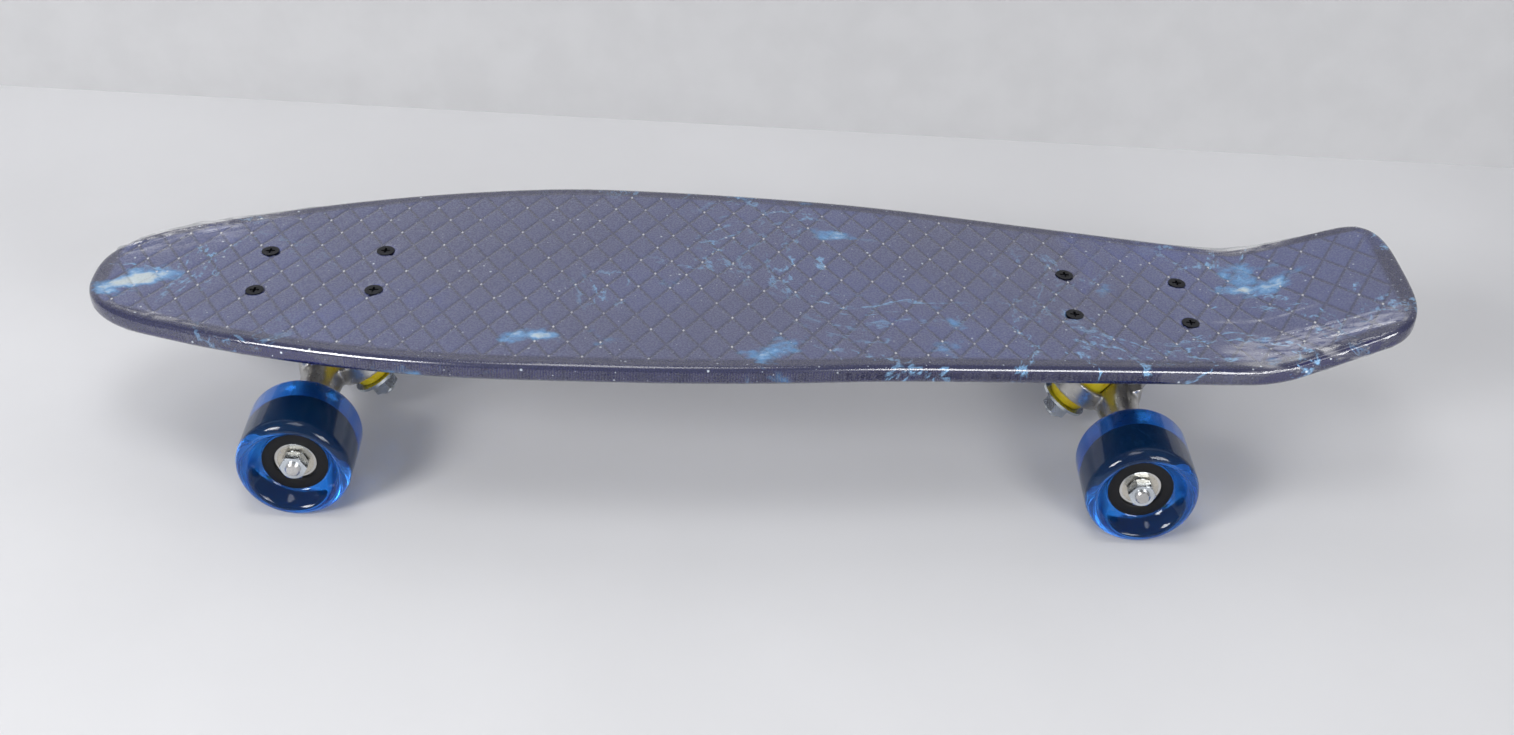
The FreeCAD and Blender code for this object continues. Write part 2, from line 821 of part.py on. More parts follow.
def cup_washer(label):
    """A pressed steel washer with a turned-up rim, lying on height zero."""
    bore = "(kingpin_diameter / 2 + kingpin_gap)"
    return turned(
        label,
        [
            (bore, "0"),
            ("washer_diameter / 2", "0"),
            ("washer_diameter / 2", "washer_thickness"),
            (bore, "washer_thickness"),
        ],
    )


def hanger(end):
    """The cast hanger: axle bar, block, kingpin ring with a cup on each face, pivot stem."""
    axle_spot = Vector(value("axle_offset"), 0, -value("axle_drop"))
    halves = []
    for side_name, side in SIDES.items():
        half = add(
            "Part::Cone",
            f"{end}_bar_{side_name}",
            Radius1="hanger_mid_diameter / 2",
            Radius2="hanger_end_diameter / 2",
            Height="hanger_width / 2",
        )
        half.Placement = Placement(axle_spot, Rotation()) * across(0, side)
        halves.append(half)
    bottom = "-axle_drop - hanger_block_bottom"
    block = padded(
        f"{end}_block",
        [
            ("axle_offset - hanger_block_back", "-axle_drop + hanger_block_top"),
            ("axle_offset - hanger_block_back", f"{bottom} + hanger_block_chamfer"),
            ("axle_offset - hanger_block_back + hanger_block_chamfer", bottom),
            ("axle_offset + hanger_block_foot", bottom),
            ("axle_offset + hanger_block_nose", "-axle_drop + hanger_block_nose_rise"),
            ("axle_offset + hanger_block_shoulder", "-axle_drop + hanger_block_shoulder_rise"),
        ],
        "hanger_block_width",
    )
    rounded(
        block,
        "hanger_block_round",
        lambda edge: edge.BoundBox.YLength < 1 and edge.BoundBox.ZLength > 8,
    )
    ring_radius = "(bushing_diameter / 2 + ring_cup_gap + ring_wall)"
    ring = add(
        "Part::Cylinder",
        f"{end}_ring",
        Radius=ring_radius,
        Height="ring_web + 2 * ring_cup_depth",
    )
    ring.Placement = kingpin_place(value("ring_web / 2 + ring_cup_depth"))
    pivot = pivot_place(0)
    root = Vector(value("axle_offset - 2"), 0, -value("axle_drop"))
    down = root - pivot.Base
    stem = add(
        "Part::Cone",
        f"{end}_stem",
        Radius1="stem_neck_radius",
        Radius2="stem_root_radius",
    )
    stem.Height = down.Length
    stem.Placement = Placement(pivot.Base, Rotation(Vector(0, 0, 1), down))
    nose = add("Part::Sphere", f"{end}_nose", Radius="pivot_radius")
    nose.Placement = pivot
    casting = fuse(f"{end}_hanger_casting", [*halves, block, ring, stem, nose])
    cutters = []
    cup_height = f"(ring_cup_depth + {RUN_OUT} / 2)"
    for name, start in (("upper", "ring_web / 2"), ("lower", f"-ring_web / 2 - {cup_height}")):
        cup = add(
            "Part::Cylinder",
            f"{end}_{name}_cup",
            Radius="bushing_diameter / 2 + ring_cup_gap",
            Height=cup_height,
        )
        cup.Placement = kingpin_place(-value(start))
        cutters.append(cup)
    bore = add(
        "Part::Cylinder", f"{end}_ring_bore", Radius="ring_bore / 2", Height=f"{RUN_OUT}"
    )
    bore.Placement = kingpin_place(RUN_OUT / 2)
    axle_bore = add(
        "Part::Cylinder", f"{end}_axle_bore", Radius="axle_diameter / 2", Height="hanger_width"
    )
    axle_bore.Placement = Placement(axle_spot, Rotation()) * across(-value("hanger_width") / 2, 1)
    cut_tools = fuse(f"{end}_hanger_cuts", [*cutters, bore, axle_bore])
    return combine("Part::Cut", f"{end}_hanger", casting, cut_tools, truck_place(end))


def axle(end):
    """The steel axle through the hanger, chamfered at its two threaded ends."""
    length = f"(2 * {AXLE_HALF})"
    corners = [
        ("0", "0"),
        ("axle_diameter / 2 - axle_chamfer", "0"),
        ("axle_diameter / 2", "axle_chamfer"),
        ("axle_diameter / 2", f"{length} - axle_chamfer"),
        ("axle_diameter / 2 - axle_chamfer", length),
        ("0", length),
    ]
    spot = Vector(value("axle_offset"), 0, -value("axle_drop"))
    place = truck_place(end) * Placement(spot, Rotation()) * across(-value(AXLE_HALF), 1)
    return turned(f"{end}_axle", corners, place)


kingpin_nut_master = hex_nut(
    "kingpin_nut_blank",
    "kingpin_nut_flats",
    "kingpin_nut_thickness",
    "kingpin_diameter / 2 + thread_gap",
)
washer_master = cup_washer("cup_washer")
axle_nut_master = hex_nut(
    "axle_nut_blank", "axle_nut_flats", "axle_nut_thickness", "axle_diameter / 2 + thread_gap"
)
speed_washer_master = tube(
    "speed_washer", "bearing_bore / 2", "speed_washer_diameter / 2", "0", "speed_washer_thickness"
)

for end in AXLES:
    truck = truck_place(end)
    pin = truck * kingpin_place(0)
    upper_bushing = turned(
        f"{end}_upper_bushing",
        bushing_corners(
            UPPER_SEAT, "upper_bushing_height", "bushing_diameter", "bushing_diameter", False
        ),
        pin,
    )
    lower_bushing = turned(
        f"{end}_lower_bushing",
        bushing_corners(
            f"-{LOWER_STACK}", "lower_bushing_height", "bushing_diameter", "lower_bushing_tip", True
        ),
        pin,
    )
    washer_heights = [
        value(f"{BOSS_FACE} - washer_thickness"),
        -value(f"{LOWER_STACK} + washer_thickness"),
    ]
    cup_washers = group(
        f"{end}_cup_washers",
        washer_master,
        [Placement(Vector(0, 0, height), Rotation()) for height in washer_heights],
        pin,
    )
    nut_drop = -value(f"{LOWER_STACK} + washer_thickness + kingpin_nut_thickness")
    kingpin_nut = group(
        f"{end}_kingpin_nut",
        kingpin_nut_master,
        [Placement(Vector(0, 0, nut_drop), Rotation())],
        pin,
    )
    axle_frame = truck * Placement(
        Vector(value("axle_offset"), 0, -value("axle_drop")), Rotation()
    )
    axle_nuts = group(
        f"{end}_axle_nuts",
        axle_nut_master,
        [across(value(AXLE_NUT_SEAT), side) for side in SIDES.values()],
        axle_frame,
    )
    washer_spots = [value("hanger_width / 2"), value(f"{WHEEL_PLACE} + {BEARING_PAIR}")]
    speed_washers = group(
        f"{end}_speed_washers",
        speed_washer_master,
        [across(spot, side) for spot in washer_spots for side in SIDES.values()],
        axle_frame,
    )
    nodes += [
        baseplate(end),
        pivot_cup(end),
        kingpin(end),
        upper_bushing,
        lower_bushing,
        cup_washers,
        kingpin_nut,
        hanger(end),
        axle(end),
        axle_nuts,
        speed_washers,
    ]

# ---------------------------------------------------------------- wheels and bearings


def tyre(label, place):
    """The cast urethane tyre, dished on both faces down to its core."""
    face = "(wheel_face_diameter / 2)"
    corners = [
        ("core_diameter / 2", "-core_width / 2"),
        (face, "-wheel_width / 2"),
        (WHEEL_RADIUS, "-wheel_width / 2"),
        (WHEEL_RADIUS, "wheel_width / 2"),
        (face, "wheel_width / 2"),
        ("core_diameter / 2", "core_width / 2"),
    ]
    body = turned(label, corners, place)
    reach = value(f"2 * {WHEEL_RADIUS}")
    rounded(
        body,
        "wheel_lip_round",
        lambda edge: edge.Closed
        and abs(edge.BoundBox.DiagonalLength - reach * math.sqrt(2)) < 0.5,
    )
    return body


def core(label, place):
    """The moulded core: a sleeve with a bearing seat in each end and a web between them."""
    seat, web = "bearing_spacer_length / 2", "core_web_diameter / 2"
    corners = [
        ("bearing_diameter / 2", "-core_width / 2"),
        ("core_diameter / 2", "-core_width / 2"),
        ("core_diameter / 2", "core_width / 2"),
        ("bearing_diameter / 2", "core_width / 2"),
        ("bearing_diameter / 2", seat),
        (web, seat),
        (web, f"-{seat}"),
        ("bearing_diameter / 2", f"-{seat}"),
    ]
    return turned(label, corners, place)


BEARING_SPOTS = [
    Placement(Vector(0, 0, sign * value("bearing_spacer_length + bearing_width") / 2), Rotation())
    for sign in (-1, 1)
]
RACE = "(ball_diameter / 2 + ball_gap)"
outer_ring = groove(
    tube(
        "outer_ring",
        "outer_ring_bore / 2",
        "bearing_diameter / 2",
        "-bearing_width / 2",
        "bearing_width / 2",
    ),
    RACE,
    "ball_circle / 2",
)
inner_ring = groove(
    tube(
        "inner_ring",
        "bearing_bore / 2",
        "inner_ring_diameter / 2",
        "-bearing_width / 2",
        "bearing_width / 2",
    ),
    RACE,
    "ball_circle / 2",
)
shield = tube(
    "shield",
    "inner_ring_diameter / 2 + shield_gap",
    "outer_ring_bore / 2",
    "bearing_width / 2 - shield_thickness - shield_groove",
    "bearing_width / 2 - shield_groove",
)
ball = add("Part::Sphere", "ball", Radius="ball_diameter / 2")
BALL_SPOTS = [
    Placement(Vector(), Rotation(Vector(0, 0, 1), 360 * (turn + 0.5) / value("ball_count")))
    * Placement(Vector(value("ball_circle") / 2, 0, 0), Rotation())
    for turn in range(int(value("ball_count")))
]
cage_ring = tube(
    "cage_ring",
    "ball_circle / 2 - cage_radial / 2",
    "ball_circle / 2 + cage_radial / 2",
    "-cage_width / 2",
    "cage_width / 2",
)
pocket = add("Part::Cylinder", "cage_pocket", Radius=f"{RACE} + ball_gap", Height="ball_circle / 2")
POCKET_SPOTS = [
    Placement(Vector(), Rotation(Vector(0, 0, 1), 360 * (turn + 0.5) / value("ball_count")))
    * Placement(Vector(value("ball_circle") / 4, 0, 0), Rotation(Vector(0, 1, 0), 90))
    for turn in range(int(value("ball_count")))
]
cage = combine("Part::Cut", "cage", cage_ring, group("cage_pockets", pocket, POCKET_SPOTS))
FLIP = Rotation(Vector(1, 0, 0), 180)
SHIELD_SPOTS = [
    spot * Placement(Vector(), turn) for spot in BEARING_SPOTS for turn in (Rotation(), FLIP)
]

for end in AXLES:
    for side_name, side in SIDES.items():
        name = f"{end}_{side_name}"
        axle_frame = truck_place(end) * Placement(
            Vector(value("axle_offset"), 0, -value("axle_drop")), Rotation()
        )
        place = axle_frame * across(value(WHEEL_PLACE), side * FACING[end])
        nodes += [
            tyre(f"{name}_tyre", place),
            core(f"{name}_core", place),
            group(f"{name}_outer_rings", outer_ring, BEARING_SPOTS, place),
            group(f"{name}_inner_rings", inner_ring, BEARING_SPOTS, place),
            group(f"{name}_shields", shield, SHIELD_SPOTS, place),
            group(f"{name}_balls", ball, [s * b for s in BEARING_SPOTS for b in BALL_SPOTS], place),
            group(f"{name}_cages", cage, BEARING_SPOTS, place),
            tube(
                f"{name}_bearing_spacer",
                "bearing_bore / 2",
                "spacer_diameter / 2",
                "-bearing_spacer_length / 2",
                "bearing_spacer_length / 2",
                place,
            ),
        ]

# ---------------------------------------------------------------- check and write

os.makedirs("parts", exist_ok=True)
doc.recompute()
for item in doc.Objects:
    assert not {"Invalid", "Error"} & set(item.State), f"{item.Label}: {item.State}"
for node in nodes:
    shape = node.Shape
    assert not shape.isNull() and shape.isValid(), node.Label
    assert shape.Solids, node.Label
    shape.exportStep(f"parts/{node.Label}.step")
    print(node.Label, len(shape.Solids), round(shape.Volume, 1))
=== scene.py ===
import json
import math

import bmesh
import bpy
import numpy as np
from mathutils import Matrix, Vector


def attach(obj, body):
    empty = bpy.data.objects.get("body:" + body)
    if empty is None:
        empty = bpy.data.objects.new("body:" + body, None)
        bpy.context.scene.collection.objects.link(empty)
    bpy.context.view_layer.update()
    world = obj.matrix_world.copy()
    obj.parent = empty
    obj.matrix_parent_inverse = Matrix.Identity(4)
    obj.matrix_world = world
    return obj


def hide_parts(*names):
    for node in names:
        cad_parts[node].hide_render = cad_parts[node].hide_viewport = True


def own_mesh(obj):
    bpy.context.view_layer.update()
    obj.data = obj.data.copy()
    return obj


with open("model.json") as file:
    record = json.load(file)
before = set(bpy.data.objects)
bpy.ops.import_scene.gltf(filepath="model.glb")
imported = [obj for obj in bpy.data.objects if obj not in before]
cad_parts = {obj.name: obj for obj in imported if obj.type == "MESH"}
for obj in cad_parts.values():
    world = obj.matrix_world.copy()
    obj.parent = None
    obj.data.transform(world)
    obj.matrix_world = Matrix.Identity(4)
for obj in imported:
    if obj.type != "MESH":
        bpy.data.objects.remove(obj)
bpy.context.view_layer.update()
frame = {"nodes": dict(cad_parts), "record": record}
nodes = frame["nodes"]
body_of_node = {
    node: body
    for body, members in frame["record"]["behaviour"]["bodies"].items()
    for node in members
}

# ---------------------------------------------------------------- deck
# The deck is one injection-moulded plank of tough plastic with a kicktail.
# Its top is moulded with shallow grooves that cross in a diamond lattice for grip,
# a night-sky print wraps it, and shallow bays between ribs lighten its underside.
# Its colour also carries painted shade in the grooves and painted glints at some crossings.

DECK_HALF_LENGTH, DECK_HALF_WIDTH, DECK_THICKNESS = 0.3555, 0.094, 0.0104
DECK_EDGE_ROUND = 0.0034
WIDEST_X, NOSE_SIDE_RADIUS, TAIL_SIDE_RADIUS = -0.087, 0.62005, 1.3
TAIL_TAPER = math.radians(6)
NOSE_CAP, NOSE_POWER, TAIL_CAP, TAIL_POWER = 0.040, 2.8, 0.027, 3.4
MIDDLE_X, CAMBER_FLAT, CAMBER_RADIUS = -0.012, 0.060, 1.15
CAMBER, KICK = math.radians(2.5), math.radians(21.5)
KICK_START, KICK_RADIUS = 0.266, 0.060
DECK_CROWN, TIP_DROP = 0.098798, 0.0006
BOLT_X = (-0.263273, -0.199773, 0.175773, 0.239273)
BOLT_Y = 0.02065
TILE_ALONG, TILE_ACROSS = 0.0169, 0.028


def side_half_width(x):
    """Half the plan's width: a circular arc each side of the widest place, then a straight taper."""
    back = x - WIDEST_X
    bend = TAIL_SIDE_RADIUS * math.sin(TAIL_TAPER)
    nose = DECK_HALF_WIDTH - NOSE_SIDE_RADIUS + np.sqrt(NOSE_SIDE_RADIUS**2 - np.minimum(back, 0) ** 2)
    arc = DECK_HALF_WIDTH - TAIL_SIDE_RADIUS + np.sqrt(TAIL_SIDE_RADIUS**2 - np.clip(back, 0, bend) ** 2)
    taper = np.maximum(back - bend, 0) * math.tan(TAIL_TAPER)
    return np.where(back < 0, nose, arc - taper)


def half_outline(count):
    """Places and outward normals along the plan's half outline from nose to tail.

    Each end is a superellipse, x = end - length (1 - cos^(2/n)), width scale = sin^(2/n),
    and the whole line is then resampled to equal steps of its length.
    """
    turn = np.linspace(0, math.pi / 2, 600)
    nose_x = -DECK_HALF_LENGTH + NOSE_CAP * (1 - np.cos(turn) ** (2 / NOSE_POWER))
    tail_x = DECK_HALF_LENGTH - TAIL_CAP * (1 - np.cos(turn) ** (2 / TAIL_POWER))
    middle_x = np.linspace(nose_x[-1], tail_x[-1], 2000)[1:-1]
    x = np.concatenate([nose_x, middle_x, tail_x[::-1]])
    cap = np.concatenate([
        np.sin(turn) ** (2 / NOSE_POWER), np.ones(len(middle_x)), np.sin(turn[::-1]) ** (2 / TAIL_POWER)
    ])
    y = side_half_width(x) * cap
    run = np.concatenate([[0], np.cumsum(np.hypot(np.diff(x), np.diff(y)))])
    even = np.linspace(0, run[-1], count)
    x, y = np.interp(even, run, x), np.interp(even, run, y)
    dx, dy = np.gradient(x), np.gradient(y)
    dx[0] = dx[-1] = 0
    long = np.hypot(dx, dy)
    return x, y, -dy / long, dx / long, even


def top_line(x):
    """Height and slope of the deck's top: a flat, an arc each side, straight falls, and the kick."""
    away = np.abs(x - MIDDLE_X)
    arc_end = CAMBER_FLAT + CAMBER_RADIUS * math.sin(CAMBER)
    drop = CAMBER_RADIUS * (1 - math.cos(CAMBER))
    on_arc = np.clip(away - CAMBER_FLAT, 0, arc_end - CAMBER_FLAT)
    z = DECK_CROWN - CAMBER_RADIUS + np.sqrt(CAMBER_RADIUS**2 - on_arc**2)
    z = z - np.maximum(away - arc_end, 0) * math.tan(CAMBER)
    slope = -np.sign(x - MIDDLE_X) * np.arcsin(on_arc / CAMBER_RADIUS)
    foot = DECK_CROWN - drop - (KICK_START - MIDDLE_X - arc_end) * math.tan(CAMBER)
    centre = KICK_START + KICK_RADIUS * math.sin(CAMBER)
    leave = centre + KICK_RADIUS * math.sin(KICK)
    on_kick = np.clip(x, KICK_START, leave) - centre
    kick_z = foot + KICK_RADIUS * math.cos(CAMBER) - np.sqrt(KICK_RADIUS**2 - on_kick**2)
    kick_z = kick_z + np.maximum(x - leave, 0) * math.tan(KICK)
    kicked = x > KICK_START
    return np.where(kicked, kick_z, z), np.where(kicked, np.arcsin(on_kick / KICK_RADIUS), slope)


def smooth_step(low, high, t):
    """0 below low, 1 above high, and the cubic 3s^2 - 2s^3 between."""
    s = np.clip((t - low) / (high - low), 0, 1)
    return s * s * (3 - 2 * s)


def lattice(x, y):
    """How far a place lies from the nearest of the two families of slanting grooves, in metres."""
    pitch = 1 / math.hypot(1 / TILE_ALONG, 1 / TILE_ACROSS)
    first = x / TILE_ALONG + y / TILE_ACROSS
    second = x / TILE_ALONG - y / TILE_ACROSS
    return pitch * np.minimum(np.abs(first - np.round(first)), np.abs(second - np.round(second)))


def bolt_distance(x, y):
    """The distance to the nearest of the eight deck screws, and the direction from it."""
    across = np.abs(y) - BOLT_Y
    along = np.stack([x - place for place in BOLT_X])
    nearest = np.argmin(np.abs(along), axis=0)
    dx = np.take_along_axis(along, nearest[None], axis=0)[0]
    return np.hypot(dx, across), np.arctan2(across, dx)


def section_columns(top_count, edge_steps, under, skin=0.0, crowd=0.0):
    """The deck's cross-section as one closed loop of columns, from one edge over the top and back below.

    Each column is (inset from the outline, depth below the top, share of the half width),
    and the rounded edges are quarter circles. The top's shares are s + crowd sin(pi s) / pi,
    which crowds them towards the edges.
    """
    r = DECK_EDGE_ROUND + skin
    turn = np.linspace(0, math.pi / 2, edge_steps + 1)
    inset = np.concatenate([r * (1 - np.sin(turn)), r * (1 - np.sin(turn[::-1]))])[1:-1]
    depth = np.concatenate([r * (1 - np.cos(turn)), DECK_THICKNESS + 2 * skin - r * (1 - np.cos(turn[::-1]))])[1:-1]
    top = np.linspace(-1, 1, top_count)
    top = top + crowd * np.sin(math.pi * top) / math.pi
    o = np.concatenate([np.full(top_count, r), inset, np.full(len(under), r), inset[::-1]])
    d = np.concatenate([np.zeros(top_count), depth, np.full(len(under), DECK_THICKNESS + 2 * skin), depth[::-1]])
    v = np.concatenate([top, np.ones(len(inset)), under, -np.ones(len(inset))])
    kind = np.concatenate([
        np.zeros(top_count), np.ones(len(inset)), np.full(len(under), 2), np.ones(len(inset))
    ])
    return o, d, v, kind


def mesh_piece(name, points, faces, body, finish, slot, **marks):
    """A smooth-shaded closed mesh on its CAD body, its doubles merged and its faces turned outwards.

    Each mark is a number at every point, kept as an attribute that the material reads.
    """
    data = bpy.data.meshes.new(name)
    data.from_pydata(points.tolist(), [], faces.tolist())
    for mark, numbers in marks.items():
        data.attributes.new(mark, "FLOAT", "POINT").data.foreach_set("value", np.ascontiguousarray(numbers, np.float32).ravel())
    work = bmesh.new()
    work.from_mesh(data)
    bmesh.ops.remove_doubles(work, verts=work.verts, dist=2e-6)
    bmesh.ops.recalc_face_normals(work, faces=work.faces)
    work.to_mesh(data)
    work.free()
    data.polygons.foreach_set("use_smooth", np.ones(len(data.polygons), bool))
    data.materials.append(finish)
    piece = bpy.data.objects.new(name, data)
    bpy.context.scene.collection.objects.link(piece)
    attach(piece, body)
    return piece


def ring_faces(rows, columns, close_rows=False):
    """Quads of a grid whose columns close into a loop, and whose rows may close too."""
    last = rows if close_rows else rows - 1
    i, j = np.meshgrid(np.arange(last), np.arange(columns), indexing="ij")
    i2, j2 = (i + 1) % rows, (j + 1) % columns
    quads = [i * columns + j, i * columns + j2, i2 * columns + j2, i2 * columns + j]
    return np.stack(quads, axis=-1).reshape(-1, 4)


def plank(columns, lift, rows):
    """The deck's surface: every row of the outline carries the same loop of columns.

    x = outline x - normal x * inset, y = share * (outline y - normal y * inset), and the height
    is the side line less the column's depth, raised by lift.
    """
    inset, depth, share, kind = columns
    ox, oy, nx, ny, run = half_outline(rows)
    x = ox[:, None] - nx[:, None] * inset
    wide = oy[:, None] - ny[:, None] * inset
    y = share * wide
    under = kind == 2
    bay_reach = np.minimum(0.062, 0.66 * wide[:, under])
    s = np.abs(share[under])
    inner = s / 0.6 * bay_reach
    outer = bay_reach + (s - 0.6) / 0.4 * (wide[:, under] - bay_reach)
    y[:, under] = np.sign(share[under]) * np.where(s <= 0.6, inner, outer)
    z, slope = top_line(x)
    z = z + lift - depth / np.cos(slope) - TIP_DROP * smooth_step(0.330, 0.3535, x)
    return x, y, z, slope, wide, run, np.broadcast_to(kind, x.shape)


def deck_points(x, y, z, slope, wide, run, kind):
    """The moulded relief: grooves and screw seats sunk in the top, bays sunk in the underside."""
    edge = side_half_width(x) - np.abs(y)
    ends = np.minimum(x + DECK_HALF_LENGTH, DECK_HALF_LENGTH - x)
    inside = smooth_step(0.0075, 0.0105, edge) * smooth_step(0.008, 0.012, ends)
    groove = 0.0006 * (1 - smooth_step(0.0003, 0.0021, lattice(x, y))) * inside
    rail = 0.0003 * np.exp(-(((edge - 0.0068) / 0.0008) ** 2)) * smooth_step(0.010, 0.03, ends)
    far, _ = bolt_distance(x, y)
    seat = 0.0032 * (1 - smooth_step(0.0026, 0.0044, far))
    top = kind == 0
    z = z - np.where(top, groove + rail + seat, 0)
    field = np.where(top, inside, 0)
    pitch = (0.300 + 0.005) / 6
    within = (x - (MIDDLE_X - 0.150)) / pitch
    place = (within - np.floor(within)) * pitch
    span = (within > 0) & (within < 6)
    bay_x = np.minimum(smooth_step(0, 0.0013, place), 1 - smooth_step(pitch - 0.0063, pitch - 0.005, place)) * span
    bay_y = np.interp(np.abs(y), [0, 0.0172, 0.0180, 0.0230, 0.0238, 0.0582, 0.0590], [1, 1, 0, 0, 1, 1, 0])
    return np.stack([x, y, z + np.where(kind == 2, 0.0032 * bay_x * bay_y, 0)], axis=-1), field


def new_finish(name, colour, roughness, metallic=0.0, **sockets):
    """A material of one Principled BSDF with its plain sockets set: (material, tree, shader)."""
    finish = bpy.data.materials.new(name)
    finish.use_nodes = True
    tree = finish.node_tree
    shader = tree.nodes["Principled BSDF"]
    shader.inputs["Base Color"].default_value = (*colour, 1)
    shader.inputs["Roughness"].default_value = roughness
    shader.inputs["Metallic"].default_value = metallic
    for socket, number in sockets.items():
        shader.inputs[socket.replace("_", " ")].default_value = number
    return finish, tree, shader


def texture(tree, kind, output=0, stretch=None, **sockets):
    """One procedural texture on Object coordinates, stretched by a Mapping scale if given."""
    place = tree.nodes.new("ShaderNodeTexCoord").outputs["Object"]
    if stretch:
        mapping = tree.nodes.new("ShaderNodeMapping")
        mapping.inputs["Scale"].default_value = stretch
        tree.links.new(place, mapping.inputs["Vector"])
        place = mapping.outputs["Vector"]
    node = tree.nodes.new(kind)
    tree.links.new(place, node.inputs["Vector"])
    for socket, number in sockets.items():
        node.inputs[socket.replace("_", " ")].default_value = number
    return node.outputs[output]


def band(tree, source, low, high, start=0.0, end=1.0):
    """A Map Range node that clamps: low to high becomes start to end, smoothly."""
    node = tree.nodes.new("ShaderNodeMapRange")
    node.interpolation_type = "SMOOTHSTEP"
    tree.links.new(source, node.inputs["Value"])
    for socket, number in (("From Min", low), ("From Max", high), ("To Min", start), ("To Max", end)):
        node.inputs[socket].default_value = number
    return node.outputs["Result"]


def sums(tree, operation, *terms):
    """A Math node on up to three terms, each a socket or a number."""
    node = tree.nodes.new("ShaderNodeMath")
    node.operation = operation
    for number, term in enumerate(terms):
        if isinstance(term, (int, float)):
            node.inputs[number].default_value = term
        else:
            tree.links.new(term, node.inputs[number])
    return node.outputs[0]


def tint(tree, share, first, second):
    """A Mix Color node from first to second, each a socket or a colour."""
    node = tree.nodes.new("ShaderNodeMix")
    node.data_type = "RGBA"
    tree.links.new(share, node.inputs["Factor"])
    for socket, colour in ((node.inputs[6], first), (node.inputs[7], second)):
        if isinstance(colour, tuple):
            socket.default_value = (*colour, 1)
        else:
            tree.links.new(colour, socket)
    return node.outputs[2]


def raise_bumps(tree, shader, height, distance, strength=1.0):
    """Add a bump of that height in metres under any bump that the shader already has."""
    node = tree.nodes.new("ShaderNodeBump")
    node.inputs["Strength"].default_value = strength
    node.inputs["Distance"].default_value = distance
    tree.links.new(height, node.inputs["Height"])
    before = shader.inputs["Normal"].links
    if before:
        tree.links.new(before[0].from_socket, node.inputs["Normal"])
    tree.links.new(node.outputs["Normal"], shader.inputs["Normal"])


def mark(tree, name):
    """The Attribute node's number for one of the piece's marks."""
    node = tree.nodes.new("ShaderNodeAttribute")
    node.attribute_name = name
    return node.outputs["Fac"]


def lattice_nodes(tree):
    """The lattice formula as nodes: how near a place is to a groove, and to a crossing."""
    place = tree.nodes.new("ShaderNodeTexCoord").outputs["Object"]
    split = tree.nodes.new("ShaderNodeSeparateXYZ")
    tree.links.new(place, split.inputs[0])
    along = sums(tree, "DIVIDE", split.outputs["X"], TILE_ALONG)
    across = sums(tree, "DIVIDE", split.outputs["Y"], TILE_ACROSS)
    pitch = 1 / math.hypot(1 / TILE_ALONG, 1 / TILE_ACROSS)
    gaps = []
    for operation in ("ADD", "SUBTRACT"):
        line = sums(tree, operation, along, across)
        away = sums(tree, "SUBTRACT", line, sums(tree, "ROUND", line))
        gaps.append(sums(tree, "MULTIPLY", sums(tree, "ABSOLUTE", away), pitch))
    return split, sums(tree, "MINIMUM", *gaps), sums(tree, "MAXIMUM", *gaps)


deck_finish, tree, shader = new_finish(
    "deck_plastic", (0.02, 0.02, 0.12), 0.28, Coat_Weight=1.0, Coat_Roughness=0.10, Coat_IOR=1.6
)
split, groove_gap, crossing_gap = lattice_nodes(tree)
hue = texture(tree, "ShaderNodeTexNoise", Scale=7.0, Detail=4.0)
ground = tint(tree, band(tree, hue, 0.35, 0.68), (0.085, 0.095, 0.230), (0.095, 0.120, 0.320))
groove_line = sums(tree, "MULTIPLY", band(tree, groove_gap, 0.0003, 0.0013, 1.0, 0.0), mark(tree, "field"))
ground = tint(tree, mark(tree, "field"), (0.010, 0.010, 0.075), ground)
# Painted shade: the grooves in the field are darkened in colour, as if shade fell in the recesses; the same groove
# lines also drive the bump below.
ground = tint(tree, sums(tree, "MULTIPLY", groove_line, 0.7), ground, (0.018, 0.022, 0.085))
haze = band(tree, texture(tree, "ShaderNodeTexNoise", Scale=9.0, Detail=7.0, Roughness=0.62, Distortion=0.6), 0.56, 0.70)
haze = sums(tree, "MULTIPLY", haze, 0.35)
patch = texture(tree, "ShaderNodeTexNoise", stretch=(1.0, 1.5, 1.0), Scale=17.0, Detail=5.0, Roughness=0.55)
cloud = band(tree, patch, 0.615, 0.70)
core_of_cloud = band(tree, patch, 0.665, 0.73)
thread_noise = texture(tree, "ShaderNodeTexNoise", Scale=11.0, Detail=9.0, Roughness=0.62, Distortion=0.9)
thread = band(tree, sums(tree, "ABSOLUTE", sums(tree, "SUBTRACT", thread_noise, 0.5)), 0.0, 0.016, 1.0, 0.0)
where = band(tree, texture(tree, "ShaderNodeTexNoise", Scale=6.0, Detail=2.0), 0.44, 0.56)
broken = band(tree, texture(tree, "ShaderNodeTexNoise", Scale=190.0, Detail=3.0), 0.42, 0.60)
thread = sums(tree, "MULTIPLY", sums(tree, "MULTIPLY", thread, where), broken)
sky = tint(tree, haze, ground, (0.06, 0.11, 0.50))
sky = tint(tree, thread, sky, (0.30, 0.62, 1.0))
sky = tint(tree, cloud, sky, (0.12, 0.50, 1.0))
sky = tint(tree, core_of_cloud, sky, (0.86, 0.98, 1.0))
for scale, size, least in ((120.0, 0.11, 0.40), (300.0, 0.13, 0.58)):
    cells = tree.nodes.new("ShaderNodeTexVoronoi")
    tree.links.new(tree.nodes.new("ShaderNodeTexCoord").outputs["Object"], cells.inputs["Vector"])
    cells.inputs["Scale"].default_value = scale
    spot = band(tree, cells.outputs["Distance"], size * 0.4, size, 1.0, 0.0)
    chosen = band(tree, cells.outputs["Color"], least, least + 0.2)
    sky = tint(tree, sums(tree, "MULTIPLY", spot, chosen), sky, (0.85, 0.93, 1.0))
